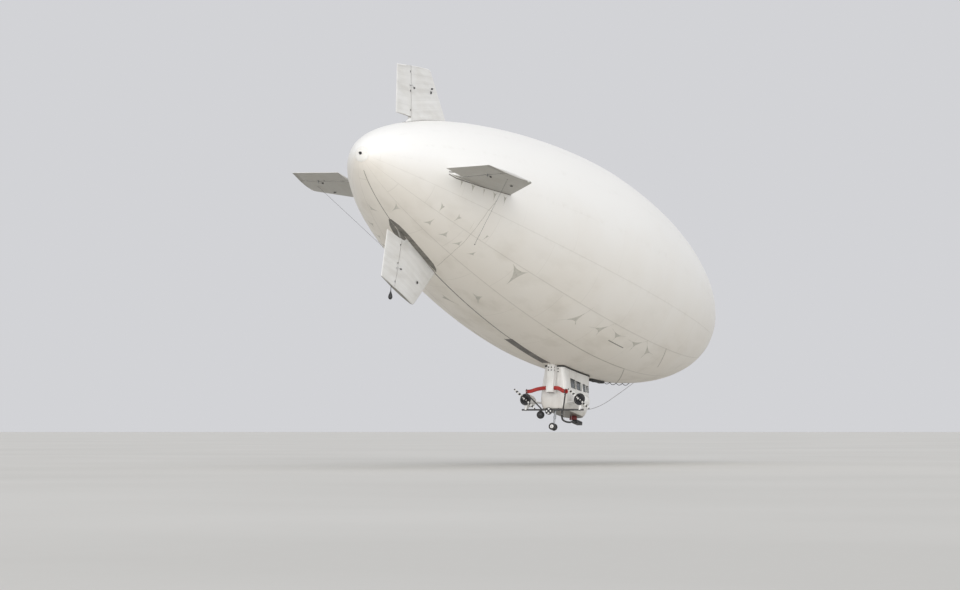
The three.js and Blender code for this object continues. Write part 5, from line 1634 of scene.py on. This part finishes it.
BLADE_SECTIONS = np.array([
    # distance from the hub's middle, half chord, half thickness, pitch in degrees
    (0.06, 0.042, 0.020, 48),
    (0.26, 0.062, 0.012, 36),
    (0.56, 0.052, 0.008, 22),
    (0.757, 0.034, 0.005, 16),
])
PROPELLER_TILT = 130.0
ENGINE_OUT, ENGINE_HEIGHT = 1.4, -6.62
GUARD_S = 17.178
FAIRING_S, FAIRING_CHORD = 16.70, 0.56
for side_name, side in SIDES:
    middle = (side * ENGINE_OUT, 0.0, ENGINE_HEIGHT)
    centre = np.array([middle[0], -17.3, middle[2]])
    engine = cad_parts[side_name + "_engine"]
    engine.data.materials.clear()
    engine.data.materials.append(engine_metal)

    outer = eased([(0.09, 16.352), (0.16, 16.375), (0.249, 16.48), (0.283, 16.60), (0.29, 16.75)],
                  6)
    profile = [tuple(p) for p in outer] + [(0.29, 17.165), (0.287, 17.180), (0.280, 17.188)]
    inner = [(0.228, 17.19), (0.225, 17.187), (0.225, 17.172), (0.270, 17.168)]
    inner += [(r - 0.02, s + 0.012) for r, s in outer[::-1]]
    cowl = Shape()
    cowl.turned(profile + inner, middle, (0, -1, 0), 56, closed=True)
    rings = []
    for z, fore, aft, half in [(-6.86, 16.66, 17.125, 0.072), (-6.93, 16.72, 17.13, 0.062),
                               (-7.03, 16.83, 17.135, 0.058), (-7.10, 16.90, 17.14, 0.06),
                               (-7.125, 16.915, 17.138, 0.058), (-7.13, 16.93, 17.13, 0.05)]:
        flat = rounded([(-half, aft), (-half, fore + 0.10), (0.0, fore), (half, fore + 0.10),
                        (half, aft)], 0.06, 5)
        rings.append([(middle[0] + x, -s, z) for x, s in flat])
    cowl.loft(rings)
    cowl.finish = 1
    cowl.turned([(0.222, 17.1885), (0.284, 17.1885), (0.286, 17.1915), (0.222, 17.1935)],
                middle, (0, -1, 0), 56, closed=True)
    cowl.turned([(0.055, 17.150), (0.224, 17.150), (0.224, 17.160), (0.055, 17.160)],
                middle, (0, -1, 0), 40, closed=True)
    for radius in (0.10, 0.145, 0.19):
        angles = full_turn(40)
        cowl.bar([(middle[0] + radius * math.cos(a), -GUARD_S, middle[2] + radius * math.sin(a))
                  for a in angles], 0.004, 6, closed=True)
    for a in np.radians(np.arange(15, 360, 60)):
        cowl.bar([(middle[0] + r * math.cos(a), -GUARD_S, middle[2] + r * math.sin(a))
                  for r in (0.06, 0.225)], 0.005, 6)
    made(side_name + "_cowl_shell", cowl, [white_paint, black_plastic], "cabin_white",
         stands_for=[side_name + "_cowl"])

    fairing = [[(side * x, -FAIRING_S - FAIRING_CHORD / 2 * squared(math.cos(a), 0.9),
                 z + half * squared(math.sin(a), 0.6)) for a in full_turn(40)]
               for x, z, half in ((0.645, -6.7305, 0.036), (0.9, -6.6985, 0.034),
                                  (1.13, -6.672, 0.033))]
    made(side_name + "_outrigger_fairing", Shape().loft(fairing), [white_paint], "cabin_white",
         stands_for=[side_name + "_outrigger"])

    blades = Shape()
    for turn in (PROPELLER_TILT, PROPELLER_TILT + 180):
        c, k = math.cos(math.radians(turn)), math.sin(math.radians(turn))
        rings = []
        for stop in [*np.linspace(BLADE_ROOT, BLADE_TIP - 0.006, 36), BLADE_TIP - 0.002,
                     BLADE_TIP]:
            chord, thick, pitch = [float(np.interp(stop, BLADE_SECTIONS[:, 0], column))
                                   for column in BLADE_SECTIONS[:, 1:].T]
            if stop > BLADE_TIP - 0.005:
                chord, thick = chord * 0.86, thick * 0.6
            p = math.radians(pitch)
            ring = []
            for a in full_turn(22):
                along_chord = chord * math.cos(a)
                deep = thick * math.sin(a) * (1.0 - 0.25 * math.cos(a))
                point = (along_chord * math.cos(p) - deep * math.sin(p),
                         along_chord * math.sin(p) + deep * math.cos(p), stop)
                ring.append(centre + (point[0] * c + point[2] * k, point[1],
                                      point[2] * c - point[0] * k))
            rings.append(ring)
        blades.loft(rings)
    blades.finish = 1
    blades.turned([(0.0, -0.083), (0.045, -0.083), (0.065, -0.063), (0.080, -0.04),
                   (0.094, -0.012), (0.100, 0.01), (0.100, 0.056), (0.096, 0.06), (0.0, 0.06)],
                  centre, (0, 1, 0), 48)
    blades.finish = 2
    blades.turned([(0.0, -0.095), (0.022, -0.0945), (0.036, -0.090), (0.042, -0.084),
                   (0.0, -0.080)], centre, (0, 1, 0), 32)
    made(side_name + "_airscrew", blades, [propeller_paint, black_plastic, white_paint],
         "propeller_paint", body=side_name + "_propeller", stands_for=[side_name + "_propeller"])


# Under the cabin's back: a black ball on a neck below the beam, and a round blower with a guard of
# four white sectors between black arms.

BALL_PLACE = (-0.62, -17.06, -7.352)
ball = Shape()
ball.turned([(0.19 * math.cos(a), 0.19 * math.sin(a))
             for a in np.radians(np.linspace(-90, 90, 29))], BALL_PLACE, (0, 0, 1), 48)
ball.turned([(0.188, -0.008), (0.194, -0.006), (0.194, 0.006), (0.188, 0.008)],
            BALL_PLACE, (0, 0, 1), 56, closed=True)
ball.turned([(0.0, 0.12), (0.085, 0.12), (0.075, 0.17), (0.062, 0.19), (0.062, 0.24)],
            (-0.62, -17.07, -7.352), (0, 0, 1), 32)
made("black_ball", ball, [black_plastic], "trim_black", stands_for=["camera_ball"])

BLOWER_X, BLOWER_Z = -0.155, -7.19
blower = Shape()
blower.turned([(0.0, 17.17), (0.150, 17.17), (0.152, 17.245), (0.160, 17.252), (0.168, 17.244),
               (0.168, 17.13), (0.160, 17.112), (0.13, 17.102), (0.0, 17.10)],
              (BLOWER_X, 0, BLOWER_Z), (0, -1, 0), 48)
blower.turned([(0.0, 17.16), (0.05, 17.16), (0.055, 17.235), (0.045, 17.25), (0.0, 17.254)],
              (BLOWER_X, 0, BLOWER_Z), (0, -1, 0), 32)
for a in (45, 135, 225, 315):
    c, k = math.cos(math.radians(a)), math.sin(math.radians(a))
    blower.bar([(BLOWER_X + r * c, -17.235, BLOWER_Z + r * k) for r in (0.04, 0.155)], 0.016, 10)
blower.finish = 1
for a in (0, 90, 180, 270):
    rings = []
    for radius in (0.065, 0.14):
        rings.append([(BLOWER_X + radius * math.cos(math.radians(a + b)), -17.205 - y,
                       BLOWER_Z + radius * math.sin(math.radians(a + b)))
                      for b, y in [(-24, 0), (-12, 0), (0, 0), (12, 0), (24, 0), (24, 0.012),
                                   (12, 0.012), (0, 0.012), (-12, 0.012), (-24, 0.012)]])
    blower.loft(rings)
made("rear_blower_guard", blower, [black_plastic, white_paint], "trim_black",
     stands_for=["rear_blower"])


# Blower under the fore cabin: a dark red drum on a black box, fed from the beam by a black rubber
# hose that hangs down, runs ahead under the floor and is held by worm clamps.

dark_red = finish("dark red paint", (0.22, 0.022, 0.022), (0.14, 0.014, 0.016), patch=7.0,
                  grime=(0.07, 0.05, 0.04), dirty=0.6, gloss=(0.35, 0.55), coat=0.1)
drum = Shape().turned([(0.0, -0.1845), (0.178, -0.1845), (0.185, -0.178), (0.184, -0.150),
                       (0.188, -0.146), (0.188, -0.132), (0.182, -0.128), (0.174, -0.070),
                       (0.178, -0.066), (0.178, -0.052), (0.172, -0.048), (0.162, -0.006),
                       (0.158, -0.0005), (0.0, -0.0005)], (0.16, -14.86, -7.05), (0, 0, 1), 48)
made("red_drum", drum, [dark_red], "dark_red", stands_for=["blower_drum"])
case = Shape().block((0.15, -14.96, -7.41), (0.43, -14.33, -7.2355), 0.018, 4)
case.block((0.145, -14.965, -7.30), (0.435, -14.325, -7.288), 0.005)
for y in (-14.80, -14.65, -14.50):
    case.block((0.43, y - 0.02, -7.33), (0.444, y + 0.02, -7.26), 0.005)
made("blower_case", case, [black_plastic], "trim_black", stands_for=["blower_box"])
hose_line = eased([(0.5, -17.08, -7.12), (0.5, -17.095, -7.25), (0.5, -17.08, -7.42),
                   (0.485, -16.96, -7.54), (0.455, -16.60, -7.58), (0.40, -15.90, -7.52),
                   (0.33, -15.30, -7.39), (0.30, -14.93, -7.335)], 8)
drop_hose = Shape().bar(hose_line, 0.044, 24)
made("drop_hose", drop_hose, [black_rubber], "trim_black", stands_for=["blower_hose"])
clamps = Shape()
for at in (1, 12, 30, 44, len(hose_line) - 4):
    way = hose_line[at + 1] - hose_line[at - 1]
    clamps.drum(0.0, 0.0468, 0.008, (0.0006, 0.002), hose_line[at], way, 28)
made("hose_clamps", clamps, [steel], "steel")
hangers = Shape()
for at in (30, 44):
    top = hose_line[at] + (0.0, 0.0, 0.04)
    hangers.bar([top, (top[0], top[1], -7.045)], 0.006, 8)
made("hose_hangers", hangers, [steel], "steel")


# Landing gear: a fixed steel leg, a fork that swivels under it, left athwart, and twin tyres with
# white pressed discs that turn on one axle.

GEAR_Y = -16.76
LEG_TOP, FORK_TOP, AXLE_HEIGHT = -7.05, -7.39, -7.88
leg = Shape().turned([(0.0, -0.0005), (0.145, -0.0005), (0.150, -0.006), (0.150, -0.040),
                      (0.145, -0.045), (0.075, -0.048), (0.060, -0.060), (0.055, -0.08),
                      (0.055, -0.30), (0.060, -0.305), (0.060, -0.335), (0.055, -0.34),
                      (0.0, -0.34)], (0, GEAR_Y, LEG_TOP), (0, 0, 1), 40)
made("gear_post", leg, [steel], "steel", stands_for=["gear_leg"])
studs("gear_bolts", [(0.12 * math.cos(a), GEAR_Y + 0.12 * math.sin(a), -7.096)
                     for a in full_turn(6)], [(0, 0, -1)] * 6, 0.013, 0.012, steel)
fork = Shape().turned([(0.0, -0.0005), (0.058, -0.0005), (0.062, -0.005), (0.062, -0.083),
                       (0.056, -0.090), (0.0, -0.090)], (0, GEAR_Y, FORK_TOP), (0, 0, 1), 40)
rings = []
for share in np.linspace(0, 1, 9):
    z = -7.45 - 0.43 * share
    middle_x = -0.06 * share ** 1.4
    half_x, half_y = 0.046 - 0.014 * share, 0.032 - 0.004 * share
    rings.append([(middle_x + half_x * squared(math.cos(a), 0.6),
                   GEAR_Y + half_y * squared(math.sin(a), 0.6), z) for a in full_turn(28)])
fork.loft(rings)
axle_place = np.array([-0.06, GEAR_Y, AXLE_HEIGHT])
fork.turned([(0.0, -0.205), (0.013, -0.205), (0.016, -0.202), (0.016, -0.175), (0.0158, 0.175),
             (0.016, 0.202), (0.013, 0.205), (0.0, 0.205)], axle_place, (0, 1, 0), 24)
fork.drum(0.0, 0.034, 0.040, (0.004, 0.004), axle_place, (0, 1, 0), 28)
made("gear_fork_arm", fork, [steel], "steel", body="gear_fork", stands_for=["gear_fork"])

tyre_black, t, shader, place = started("tyre rubber")
chart = t.parts(t.node("ShaderNodeUVMap", uv_map="chart"))
groove = t.sum("FRACT", t.times(chart[0], 44.0))
tread = t.times(t.spread(groove, 0.12, 0.2), t.times(t.spread(
    chart[1], 0.36, 0.38), t.spread(chart[1], 0.62, 0.64, 1.0, 0.0)))
tone = t.mixed(t.spread(t.cloud(place, 12.0, 5.0), 0.35, 0.7), (0.030, 0.030, 0.031),
               (0.055, 0.052, 0.048))
fine_coat(t, shader, place, tone, (0.6, 0.85), 260.0, 0.8, 0.003, tread)
WHEEL_OUT = 0.125
TYRE = [
    # radius, half width
    (0.088, 0.033), (0.094, 0.038), (0.110, 0.041), (0.135, 0.040), (0.156, 0.033), (0.167, 0.025),
    (0.171, 0.017),
]
for side_name, side in SIDES:
    wheel = Shape()
    wheel.turned([(r, WHEEL_OUT - half) for r, half in TYRE] + [(0.172, WHEEL_OUT)]
                 + [(r, WHEEL_OUT + half) for r, half in TYRE[::-1]],
                 axle_place, (0, -side, 0), 64, closed=True)
    wheel.finish = 1
    wheel.turned([(0.017, 0.084), (0.030, 0.084), (0.034, 0.098), (0.080, 0.106), (0.0885, 0.092),
                  (0.094, 0.090), (0.0885, 0.125), (0.094, 0.160), (0.0885, 0.159),
                  (0.080, 0.144), (0.036, 0.150), (0.032, 0.166), (0.017, 0.166)],
                 axle_place, (0, -side, 0), 64, closed=True)
    made(side_name + "_landing_wheel", wheel, [tyre_black, white_paint], "tyre", body="wheels",
         stands_for=[side_name + "_wheel"])


# Nose hand line: a thin rope from the belly down to the cabin's nose. It is made fast at both
# ends and is nearly taut.

loose_line = eased([(0.02, -13.965, -6.62), (0.10, -12.5, -6.28), (0.14, -11.1, -5.80),
                    (0.12, -9.3, -5.02), tuple(on_hull(7.1, 1.5, -0.01))], 12)
rope = Shape().bar(loose_line, 0.010, 8)
rope.block((-0.02, -13.99, -6.66), (0.06, -13.95, -6.58), 0.008)
made("nose_hand_line", rope, [tape_cloth], "trim_black")
